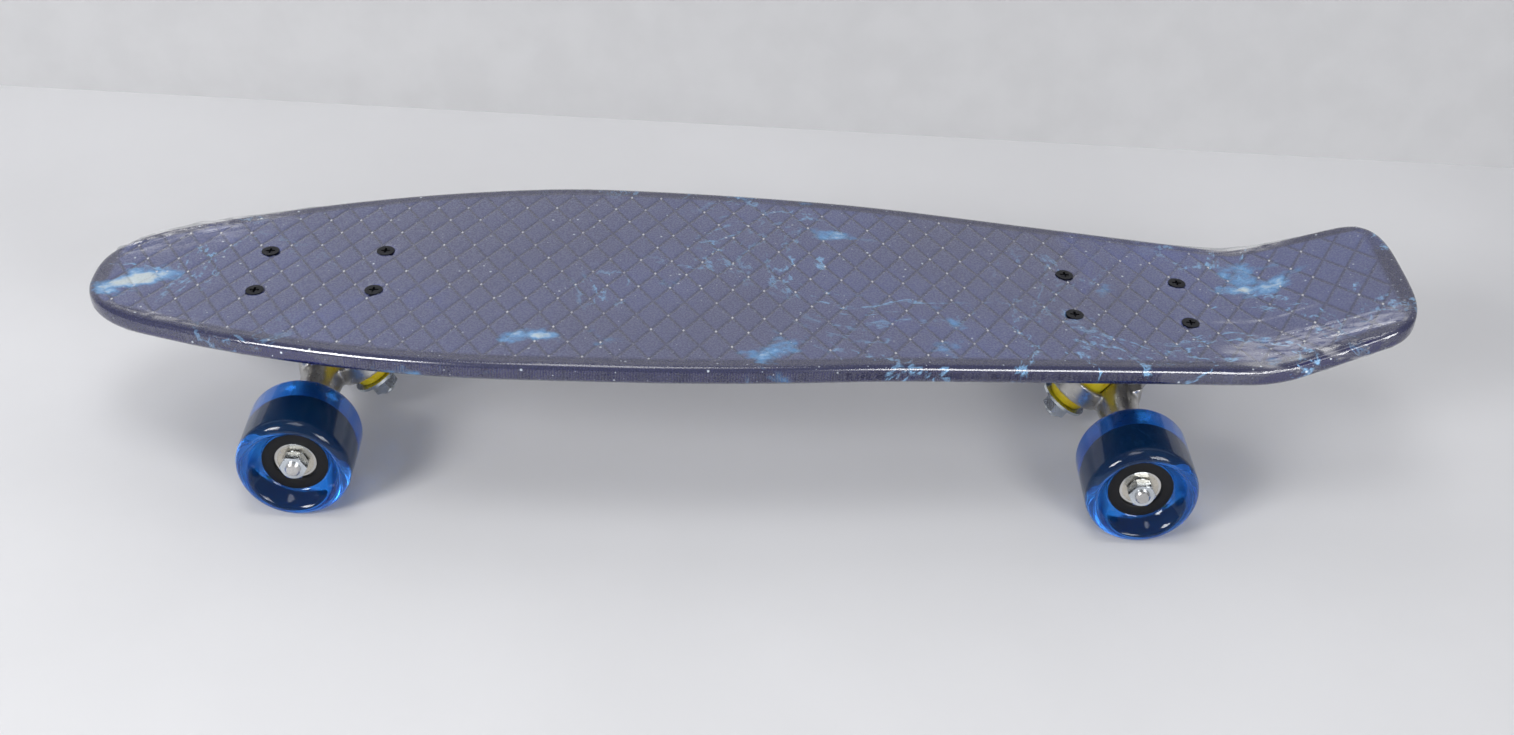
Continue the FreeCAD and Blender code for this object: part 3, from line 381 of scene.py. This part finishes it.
# Painted highlights: white dots at some lattice crossings, where the film would catch the light, painted into the
# base colour; lit picks which crossings get one.
painted_crossing_glint = sums(tree, "MULTIPLY", band(tree, crossing_gap, 0.0004, 0.0008, 1.0, 0.0), mark(tree, "field"))
lit = band(tree, texture(tree, "ShaderNodeTexNoise", Scale=70.0, Detail=1.0), 0.42, 0.55)
sky = tint(tree, sums(tree, "MULTIPLY", painted_crossing_glint, lit), sky, (1.0, 1.0, 1.0))
tree.links.new(sky, shader.inputs["Base Color"])
grain = texture(tree, "ShaderNodeTexNoise", Scale=900.0, Detail=3.0)
tree.links.new(band(tree, grain, 0.3, 0.7, 0.20, 0.34), shader.inputs["Roughness"])
raise_bumps(tree, shader, groove_line, -0.0004, 0.6)

under_half = [0, 0.0086, 0.0172, 0.0180, 0.0230, 0.0238, 0.032, 0.041, 0.050, 0.0582, 0.0590, 0.062]
under_share = [place / 0.062 * 0.6 for place in under_half] + [0.68, 0.76, 0.84, 0.92, 1.0]
under_columns = np.array(under_share[:0:-1] + [0] + [-s for s in under_share[1:]])
deck_columns = section_columns(113, 5, under_columns)
deck_grid = plank(deck_columns, 0.0, 540)
deck_skin, field = deck_points(*deck_grid)
deck = mesh_piece(
    "deck_moulding", deck_skin.reshape(-1, 3), ring_faces(540, len(deck_columns[0])),
    "deck_assembly", deck_finish, "deck_plastic", field=field,
)
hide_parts("deck")

# ---------------------------------------------------------------- shrink film
# A clear heat-shrunk sleeve covers the whole deck, thin and glossy.
# It is smooth over the middle, gathers in folds at the nose and along the tail's sides,
# bridges the kick a little, and has a hole with puckers round each screw.
# Its raised folds and puckers are whitened in colour, partly as real whitening of the film and partly as painted
# highlight.

FILM_THICKNESS = 0.00035
TAIL_TIP_HEIGHT = 0.1187


def soft_noise(u, v, seed):
    """Value noise: random numbers on the whole-number places, blended with a cubic between them."""
    table = np.random.default_rng(seed).random((64, 64))
    i, j = np.floor(u).astype(int), np.floor(v).astype(int)
    fu, fv = u - i, v - j
    fu, fv = fu * fu * (3 - 2 * fu), fv * fv * (3 - 2 * fv)
    corner = [table[(i + a) % 64, (j + b) % 64] for a in (0, 1) for b in (0, 1)]
    first = corner[0] * (1 - fv) + corner[1] * fv
    second = corner[2] * (1 - fv) + corner[3] * fv
    return first * (1 - fu) + second * fu


def folds(along, across, seed, power=2.5):
    """Long creases: ridged noise, 1 - |2n - 1| raised to a power, stretched along the fold."""
    wander = 0.8 * soft_noise(along * 0.7, across * 0.15, seed + 7)
    return (1 - np.abs(2 * soft_noise(along, across + wander, seed) - 1)) ** power


def film_points(x, y, z, slope, wide, run, kind):
    """The film over the deck, with its gathers, its bridge over the kick and its holes' puckers, and a pale mark on
    its raised folds, ridge and puckers that the material paints white, partly as whitening and partly as painted
    highlight.
    """
    edge = side_half_width(x) - np.abs(y)
    line = np.broadcast_to(run[:, None], x.shape)
    near, far_side = y < 0, y > 0
    nose = smooth_step(-0.205, -0.29, x)
    nose_far = nose * far_side * smooth_step(0.052, 0.012, edge)
    nose_near = nose * near * smooth_step(0.022, 0.004, edge)
    tail = smooth_step(0.215, 0.285, x)
    tail_near = tail * near * smooth_step(0.046, 0.010, edge)
    tail_far = tail * far_side * smooth_step(0.016, 0.004, edge)
    crease = folds(line / 0.045 + edge / 0.09, edge / 0.0062 + line / 0.05, 3)
    fine = folds(line / 0.030 + edge / 0.05, edge / 0.0036 + line / 0.035, 11)
    rise = (0.0024 * nose_far + 0.0018 * nose_near) * (0.7 * crease + 0.5 * fine)
    rise = rise + (0.0034 * tail_near + 0.0014 * tail_far) * (0.7 * crease + 0.5 * fine)
    bridge = np.exp(-(((x - 0.279) / 0.026) ** 2))
    rise = rise + bridge * (0.0006 + 0.0016 * smooth_step(0.05, 0.005, edge))
    far, around = bolt_distance(x, y)
    ray = np.exp(-np.maximum(far - 0.0052, 0) / 0.008) * (0.5 + 0.5 * np.cos(7 * around + 2.0))
    rise = rise + 0.00022 * ray * (far > 0.005)
    ridge_across = (y + BOLT_Y) - (x - BOLT_X[3]) * 0.10
    ridge = np.exp(-((ridge_across / 0.0016) ** 2)) * smooth_step(0.243, 0.26, x) * smooth_step(0.325, 0.29, x)
    rise = rise + 0.0006 * ridge
    sunk = 0.00022 * (1 - smooth_step(0.0002, 0.0030, lattice(x, y))) * smooth_step(0.0075, 0.0105, edge)
    rise = rise - sunk * (1 - np.clip(nose_far + tail_near + bridge, 0, 1))
    hole = 0.0012 * (1 - smooth_step(0.0050, 0.0060, far))
    top = kind == 0
    room = np.maximum(TAIL_TIP_HEIGHT - z, 0)
    rise = np.where(rise > 0, rise * room / (room + np.maximum(rise, 0) + 1e-9), rise)
    z = z + np.where(top, rise - hole, 0)
    flank = kind == 1
    gather = (tail * (near + 0.35 * far_side) + 0.5 * nose) * smooth_step(0.004, 0.03, DECK_HALF_LENGTH - np.abs(x))
    squeeze = 0.0009 * gather * (folds(line / 0.040, z / 0.0045 + line / 0.06, 23) - 0.2) * flank
    # The pale mark: partly the whitening of folded film, partly painted highlight on the raised folds, the ridge and
    # the puckers round the screws.
    pale = np.where(top, np.clip(rise / 0.0022, 0, 1) ** 1.5 * (nose_far + nose_near + tail_near + tail_far), 0.8 * gather * flank * squeeze / 0.0009)
    pale = pale + np.where(top, 0.5 * ridge + 0.35 * ray * (far > 0.005) * (far < 0.009), 0)
    return np.stack([x, y + np.sign(y) * squeeze, z], axis=-1), np.clip(pale, 0, 1)


film_finish, tree, shader = new_finish(
    "clear_film", (0.07, 0.08, 0.13), 0.06, IOR=2.8, Alpha=0.25
)
# Base colour: white streaks on the pale folds, partly the whitening of folded film and partly painted highlight
# where the folds would catch the light.
fold_whitening_and_glint = texture(tree, "ShaderNodeTexNoise", stretch=(0.12, 1.0, 1.0), Scale=420.0, Detail=4.0)
fold_whitening_and_glint = sums(tree, "MULTIPLY", band(tree, fold_whitening_and_glint, 0.38, 0.58), band(tree, mark(tree, "pale"), 0.05, 0.6))
tree.links.new(tint(tree, fold_whitening_and_glint, (0.07, 0.08, 0.13), (1.0, 1.0, 1.0)), shader.inputs["Base Color"])
split = tree.nodes.new("ShaderNodeSeparateXYZ")
tree.links.new(tree.nodes.new("ShaderNodeTexCoord").outputs["Object"], split.inputs[0])
toward_end = band(tree, sums(tree, "ABSOLUTE", sums(tree, "ADD", split.outputs["X"], 0.012)), 0.20, 0.28)
sag = texture(tree, "ShaderNodeTexNoise", Scale=26.0, Detail=3.0)
crinkle = texture(tree, "ShaderNodeTexNoise", stretch=(0.22, 1.0, 1.0), Scale=260.0, Detail=4.0, Distortion=0.4)
raise_bumps(tree, shader, sag, 0.0007, 0.25)
raise_bumps(tree, shader, sums(tree, "MULTIPLY", crinkle, toward_end), 0.0005, 0.5)
tree.links.new(band(tree, sag, 0.3, 0.7, 0.07, 0.16), shader.inputs["Roughness"])
film_columns = section_columns(137, 5, np.linspace(1, -1, 11), FILM_THICKNESS, 0.35)
film_grid = plank(film_columns, FILM_THICKNESS, 580)
film_skin, pale = film_points(*film_grid)
film = mesh_piece(
    "film_sleeve", film_skin.reshape(-1, 3), ring_faces(580, len(film_columns[0])),
    "deck_assembly", film_finish, "clear_film", pale=pale,
)
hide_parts("shrink_film")

# ---------------------------------------------------------------- deck screws and nuts
# Eight flat-head Phillips screws of blackened steel come down through the film and the deck,
# and a zinc-plated lock nut holds each one under the baseplate.


def metal(name, colour, roughness, scale, depth, spread=0.08, stretch=None, **sockets):
    """A metal finish: fine grain in the roughness and the bump, and a faint wander of the colour."""
    finish, tree, shader = new_finish(name, colour, roughness, 1.0, **sockets)
    grain = texture(tree, "ShaderNodeTexNoise", stretch=stretch, Scale=scale, Detail=5.0, Roughness=0.6)
    cloudy = texture(tree, "ShaderNodeTexNoise", Scale=60.0, Detail=3.0)
    pale = tuple(min(1.0, c * 1.12) for c in colour)
    dark = tuple(c * 0.80 for c in colour)
    tree.links.new(tint(tree, band(tree, cloudy, 0.3, 0.7), dark, pale), shader.inputs["Base Color"])
    tree.links.new(band(tree, grain, 0.25, 0.75, roughness - spread, roughness + spread), shader.inputs["Roughness"])
    raise_bumps(tree, shader, grain, depth, 0.5)
    return finish


def dress(finish, *names):
    """Give CAD nodes one finish."""
    for name in names:
        data = nodes[name].data
        data.materials.clear()
        data.materials.append(finish)


black_steel = metal("black_steel", (0.030, 0.031, 0.035), 0.36, 1500.0, 0.00003)
zinc_steel = metal("zinc_steel", (0.62, 0.66, 0.70), 0.24, 1200.0, 0.00002)
dress(black_steel, "deck_screws")
dress(zinc_steel, "deck_nuts")

# ---------------------------------------------------------------- baseplates and hangers
# Each truck is two aluminium castings, tumbled to a soft grey with rounded edges and a faint grain.
# The baseplate bolts under the deck, and the hanger holds the axle and swings on the kingpin.

cast_alloy = metal("cast_alloy", (0.50, 0.49, 0.475), 0.34, 700.0, 0.00010, spread=0.10)


def cast_piece(name, node):
    """A CAD casting remeshed to fine voxels and relaxed, so that its corners soften as cast ones do."""
    source = nodes[node].data.copy()
    work = bmesh.new()
    work.from_mesh(source)
    bmesh.ops.remove_doubles(work, verts=work.verts, dist=1e-6)
    work.to_mesh(source)
    work.free()
    piece = bpy.data.objects.new(name, source)
    bpy.context.scene.collection.objects.link(piece)
    remesh = piece.modifiers.new("voxels", "REMESH")
    remesh.mode = "VOXEL"
    remesh.voxel_size = 0.0007
    relax = piece.modifiers.new("relax", "SMOOTH")
    relax.factor = 0.5
    relax.iterations = 7
    bpy.context.view_layer.update()
    solid = bpy.data.meshes.new_from_object(piece.evaluated_get(bpy.context.evaluated_depsgraph_get()))
    piece.modifiers.clear()
    piece.data = solid
    solid.name = name
    solid.polygons.foreach_set("use_smooth", np.ones(len(solid.polygons), bool))
    solid.materials.clear()
    solid.materials.append(cast_alloy)
    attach(piece, body_of_node[node])
    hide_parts(node)
    return piece


for end in ("front", "rear"):
    cast_piece(f"{end}_baseplate_casting", f"{end}_baseplate")
    cast_piece(f"{end}_hanger_casting", f"{end}_hanger")

# ---------------------------------------------------------------- pivots, kingpins and cup washers
# A black nylon cup in the baseplate holds the hanger's round pivot.
# The kingpin, its lock nut and the two pressed cup washers are zinc-plated steel.

black_nylon, tree, shader = new_finish("black_nylon", (0.018, 0.018, 0.020), 0.45)
grain = texture(tree, "ShaderNodeTexNoise", Scale=900.0, Detail=3.0)
tree.links.new(band(tree, grain, 0.3, 0.7, 0.38, 0.52), shader.inputs["Roughness"])
raise_bumps(tree, shader, grain, 0.00004, 0.5)
for end in ("front", "rear"):
    dress(black_nylon, f"{end}_pivot_cup")
    dress(zinc_steel, f"{end}_kingpin", f"{end}_kingpin_nut", f"{end}_cup_washers")

# ---------------------------------------------------------------- bushings
# Two cast urethane bushings sit on each kingpin, a barrel above the hanger's ring and a cone below.
# They are bright yellow and slightly see-through; the real ones are squeezed as the truck leans, but here each keeps
# one fixed shape.

UPPER_SEAT, UPPER_HEIGHT, LOWER_HEIGHT = 0.0025, 0.0145, 0.0105
BUSHING_RADIUS, CONE_TIP_RADIUS, BUSHING_BORE = 0.0135, 0.0105, 0.0049
SEATS = {"front": (Vector((-0.213554, 0, 0.03741)), -1), "rear": (Vector((0.189554, 0, 0.03741)), 1)}

yellow_urethane, tree, shader = new_finish(
    "yellow_urethane", (0.80, 0.62, 0.02), 0.30, Subsurface_Weight=0.35, Subsurface_Scale=0.006
)
shader.inputs["Subsurface Radius"].default_value = (1.0, 0.7, 0.1)
mottle = texture(tree, "ShaderNodeTexNoise", Scale=120.0, Detail=4.0)
tree.links.new(tint(tree, band(tree, mottle, 0.3, 0.7), (0.70, 0.50, 0.010), (0.86, 0.70, 0.03)), shader.inputs["Base Color"])
tree.links.new(band(tree, mottle, 0.3, 0.7, 0.24, 0.38), shader.inputs["Roughness"])
raise_bumps(tree, shader, texture(tree, "ShaderNodeTexNoise", Scale=700.0, Detail=3.0), 0.00005, 0.4)


def turned_points(profile, steps):
    """A profile of (radius, height) turned about Z, as rows of the turn and columns of the profile."""
    turn = np.linspace(0, 2 * math.pi, steps, endpoint=False)[:, None]
    radius, height = np.asarray(profile, float).T
    return np.stack([radius * np.cos(turn), radius * np.sin(turn), height + 0 * turn], axis=-1)


def rounded_profile(corners, size, steps=6):
    """A closed profile with each corner replaced by a quadratic curve of that size."""
    corners = np.asarray(corners, float)
    before, after = np.roll(corners, 1, axis=0), np.roll(corners, -1, axis=0)
    back, on = before - corners, after - corners
    reach_back = np.minimum(size, 0.45 * np.linalg.norm(back, axis=1))[:, None]
    reach_on = np.minimum(size, 0.45 * np.linalg.norm(on, axis=1))[:, None]
    start = corners + back / np.linalg.norm(back, axis=1)[:, None] * reach_back
    end = corners + on / np.linalg.norm(on, axis=1)[:, None] * reach_on
    t = np.linspace(0, 1, steps)[None, :, None]
    curve = start[:, None] * (1 - t) ** 2 + 2 * corners[:, None] * t * (1 - t) + end[:, None] * t**2
    return curve.reshape(-1, 2)


def bushing_profile(low, height, wide_low, wide_high, bulge):
    """A bushing's section: bore, flat ends, and a side that bulges out by a parabola."""
    t = np.linspace(0, 1, 9)
    side = wide_low + (wide_high - wide_low) * t + bulge * 4 * t * (1 - t)
    corners = [(BUSHING_BORE, low), (wide_low - 0.0008, low)]
    corners += [(side[k], low + height * (0.06 + 0.88 * t[k])) for k in range(9)]
    corners += [(wide_high - 0.0008, low + height), (BUSHING_BORE, low + height)]
    return rounded_profile(corners, 0.0008)


for end, (seat, facing) in SEATS.items():
    lean = math.radians(30 + 2.5)
    up = Vector((facing * math.sin(lean), 0, math.cos(lean)))
    side = Vector((0, 1, 0)).cross(up)
    pin_frame = np.array(Matrix((side, Vector((0, 1, 0)), up)).transposed())
    for part, low, height, widths, bulge, fixed in (
        ("upper", UPPER_SEAT, UPPER_HEIGHT, (BUSHING_RADIUS - 0.0006, BUSHING_RADIUS - 0.0006), 0.0005, UPPER_SEAT + UPPER_HEIGHT),
        ("lower", -UPPER_SEAT - LOWER_HEIGHT, LOWER_HEIGHT, (CONE_TIP_RADIUS - 0.0002, BUSHING_RADIUS - 0.0003), 0.0002, -UPPER_SEAT - LOWER_HEIGHT),
    ):
        rings = turned_points(bushing_profile(low, height, *widths, bulge), 72)
        points = rings @ pin_frame.T + np.array(seat)
        faces = ring_faces(72, rings.shape[1], close_rows=True)
        bushing = mesh_piece(
            f"{end}_{part}_bushing_urethane", points.reshape(-1, 3), faces, "deck_assembly", yellow_urethane, "yellow_urethane"
        )
        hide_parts(f"{end}_{part}_bushing")
        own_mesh(bushing)

# ---------------------------------------------------------------- axles and their hardware
# A steel axle runs through each hanger, threaded at both ends.
# A plain washer stands each side of each wheel, and a plated lock nut holds the wheel on.

axle_steel = metal("axle_steel", (0.60, 0.59, 0.58), 0.30, 900.0, 0.00003)
for end in ("front", "rear"):
    dress(axle_steel, f"{end}_axle")
    dress(zinc_steel, f"{end}_axle_nuts", f"{end}_speed_washers")

# ---------------------------------------------------------------- tyres and cores
# Each wheel is clear blue urethane cast round a moulded black core.
# The urethane is soft at its lips and dished down to the core, which shows through it as a dark band.

WHEEL_RADIUS, WHEEL_HALF_WIDTH, LIP = 0.030, 0.0225, 0.006
FACE_RADIUS, CORE_RADIUS, CORE_HALF_WIDTH, BEARING_RADIUS = 0.0235, 0.0175, 0.0135, 0.011
WHEELS = {"front_left": (-0.23425, -1), "front_right": (-0.23425, 1), "rear_left": (0.21025, -1), "rear_right": (0.21025, 1)}
TRACK = 0.0764

blue_urethane, tree, shader = new_finish(
    "blue_urethane", (0.03, 0.25, 0.88), 0.05, IOR=1.42, Transmission_Weight=0.95
)
cast_cloud = texture(tree, "ShaderNodeTexNoise", Scale=45.0, Detail=3.0)
tree.links.new(tint(tree, band(tree, cast_cloud, 0.3, 0.7), (0.026, 0.22, 0.84), (0.040, 0.30, 0.93)), shader.inputs["Base Color"])
tree.links.new(band(tree, cast_cloud, 0.3, 0.7, 0.04, 0.10), shader.inputs["Roughness"])
raise_bumps(tree, shader, texture(tree, "ShaderNodeTexNoise", Scale=300.0, Detail=3.0), 0.00004, 0.3)

black_plastic, tree, shader = new_finish("black_plastic", (0.004, 0.004, 0.005), 0.5, Specular_IOR_Level=0.3)
grain = texture(tree, "ShaderNodeTexNoise", Scale=800.0, Detail=3.0)
tree.links.new(band(tree, grain, 0.3, 0.7, 0.42, 0.58), shader.inputs["Roughness"])
raise_bumps(tree, shader, grain, 0.00004, 0.5)


def arc_points(centre, radius, start, end, steps):
    """Places along a circular arc between two angles in degrees."""
    turn = np.radians(np.linspace(start, end, steps))
    return np.stack([centre[0] + radius * np.cos(turn), centre[1] + radius * np.sin(turn)], axis=-1)


def tyre_profile():
    """The tyre's half section mirrored: the dish, a soft inner lip, the round outer lip and the tread."""
    lip = arc_points((WHEEL_RADIUS - LIP, WHEEL_HALF_WIDTH - LIP), LIP, 72, 0, 14)
    t = np.linspace(0, 1, 16)[:-1, None]
    inner = np.array([CORE_RADIUS, CORE_HALF_WIDTH])
    reach = np.array([[CORE_RADIUS + 0.0034, CORE_HALF_WIDTH + 0.0030], [FACE_RADIUS - 0.0006, WHEEL_HALF_WIDTH + 0.0002]])
    dish = inner * (1 - t) ** 3 + 3 * reach[0] * t * (1 - t) ** 2 + 3 * reach[1] * t**2 * (1 - t) + lip[0] * t**3
    half = np.vstack([[[CORE_RADIUS - 0.0012, CORE_HALF_WIDTH - 0.0004]], dish, lip])
    return np.vstack([half, half[::-1] * [1, -1]])


def core_profile():
    """The core's section: a rounded sleeve with a bearing seat at each end and a web between."""
    seat, web = 0.005, 0.0085
    corners = [
        (BEARING_RADIUS, CORE_HALF_WIDTH - 0.0006), (BEARING_RADIUS + 0.0008, CORE_HALF_WIDTH), (CORE_RADIUS, CORE_HALF_WIDTH),
        (CORE_RADIUS, -CORE_HALF_WIDTH), (BEARING_RADIUS + 0.0008, -CORE_HALF_WIDTH), (BEARING_RADIUS, -CORE_HALF_WIDTH + 0.0006),
        (BEARING_RADIUS, -seat), (web, -seat), (web, seat), (BEARING_RADIUS, seat),
    ]
    return rounded_profile(corners, 0.0005, 4)


def on_axle(rings, x, side):
    """Turn a lathe about Z onto the axle's line, across the board, at a wheel's place."""
    return np.stack([rings[..., 0] + x, side * rings[..., 2] + side * TRACK, rings[..., 1] + WHEEL_RADIUS], axis=-1)


for name, (x, side) in WHEELS.items():
    for part, profile, finish, slot in (
        ("tyre", tyre_profile(), blue_urethane, "blue_urethane"),
        ("core", core_profile(), black_plastic, "black_plastic"),
    ):
        rings = turned_points(profile, 128)
        points = on_axle(rings, x, side).reshape(-1, 3)
        faces = ring_faces(128, rings.shape[1], close_rows=True)
        piece = mesh_piece(f"{name}_{part}_moulding", points, faces, f"{name}_wheel", finish, slot)
        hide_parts(f"{name}_{part}")

# ---------------------------------------------------------------- bearings
# Two 608 ball bearings sit in each core: ground steel rings, pressed steel shields, balls and cages,
# with a steel spacer between them on the axle.

ring_steel = metal("bearing_steel", (0.66, 0.65, 0.62), 0.20, 1400.0, 0.00002)
shield_steel = metal("shield_steel", (0.64, 0.60, 0.52), 0.30, 900.0, 0.00003)
ball_steel = metal("ball_steel", (0.70, 0.70, 0.71), 0.12, 1500.0, 0.00001, spread=0.04)
for name in WHEELS:
    dress(ring_steel, f"{name}_outer_rings", f"{name}_inner_rings", f"{name}_bearing_spacer")
    dress(shield_steel, f"{name}_shields", f"{name}_cages")
    dress(ball_steel, f"{name}_balls")

# ---------------------------------------------------------------- studio
# The board stands on white card in front of a pale wall, under a broad soft light.
# Both sheets can be looked through from behind, so that every side can be seen.


def stage_sheet(name, corners, colour, scale):
    """A flat sheet of card that is clear from behind, with a faint mottle in its colour."""
    data = bpy.data.meshes.new(name)
    data.from_pydata(corners, [], [(0, 1, 2, 3)])
    finish, tree, shader = new_finish(name, colour, 0.55)
    mottle = texture(tree, "ShaderNodeTexNoise", Scale=scale, Detail=5.0)
    dim = tuple(c * 0.955 for c in colour)
    tree.links.new(tint(tree, band(tree, mottle, 0.3, 0.7), dim, colour), shader.inputs["Base Color"])
    clear = tree.nodes.new("ShaderNodeBsdfTransparent")
    mix = tree.nodes.new("ShaderNodeMixShader")
    tree.links.new(tree.nodes.new("ShaderNodeNewGeometry").outputs["Backfacing"], mix.inputs[0])
    tree.links.new(shader.outputs[0], mix.inputs[1])
    tree.links.new(clear.outputs[0], mix.inputs[2])
    tree.links.new(mix.outputs[0], tree.nodes["Material Output"].inputs["Surface"])
    data.materials.append(finish)
    sheet = bpy.data.objects.new(name, data)
    bpy.context.scene.collection.objects.link(sheet)


wall_left, wall_right = Vector((-2.0, 0.453, 0)), Vector((2.0, 0.302, 0))
stage_sheet("floor", [(-4, -4, 0), (4, -4, 0), (4, 4, 0), (-4, 4, 0)], (0.80, 0.80, 0.815), 5.0)
rise = Vector((0, 0, 1.6))
stage_sheet("wall", [wall_left, wall_right, wall_right + rise, wall_left + rise], (0.61, 0.61, 0.62), 30.0)


def soft_light(name, place, target, size, power):
    """A square area light at a place, turned to shine on a target."""
    lamp = bpy.data.lights.new(name, "AREA")
    lamp.size = size
    lamp.energy = power
    light = bpy.data.objects.new(name, lamp)
    light.location = place
    light.rotation_euler = (Vector(target) - Vector(place)).to_track_quat("-Z", "Y").to_euler()
    bpy.context.scene.collection.objects.link(light)


soft_light("overhead", (-0.2, -0.3, 1.7), (0, 0, 0), 0.7, 5)
soft_light("key", (-1.2, -1.3, 1.05), (0, 0, 0.05), 0.6, 21)
soft_light("fill", (0.9, -1.6, 0.8), (0, 0, 0.05), 0.7, 13)
world = bpy.data.worlds.new("room")
world.use_nodes = True
world.node_tree.nodes["Background"].inputs["Color"].default_value = (0.93, 0.95, 1.0, 1)
world.node_tree.nodes["Background"].inputs["Strength"].default_value = 0.30
bpy.context.scene.world = world

down, yaw, roll = math.radians(33.776), math.radians(1.854), math.radians(2.99)
ahead = Vector((math.sin(yaw) * math.cos(down), math.cos(yaw) * math.cos(down), -math.sin(down)))
right = ahead.cross(Vector((0, 0, 1))).normalized()
upright = right.cross(ahead)
camera_x = right * math.cos(roll) + upright * math.sin(roll)
camera_y = upright * math.cos(roll) - right * math.sin(roll)
lens = bpy.data.cameras.new("camera")
lens.sensor_width = 36.0
lens.lens = 45.774
camera = bpy.data.objects.new("camera", lens)
turn = Matrix((camera_x, camera_y, -ahead)).transposed().to_4x4()
camera.matrix_world = Matrix.Translation((-0.0219, -0.8985, 0.6404)) @ turn
bpy.context.scene.collection.objects.link(camera)
bpy.context.scene.camera = camera
bpy.context.scene.view_settings.view_transform = "Standard"
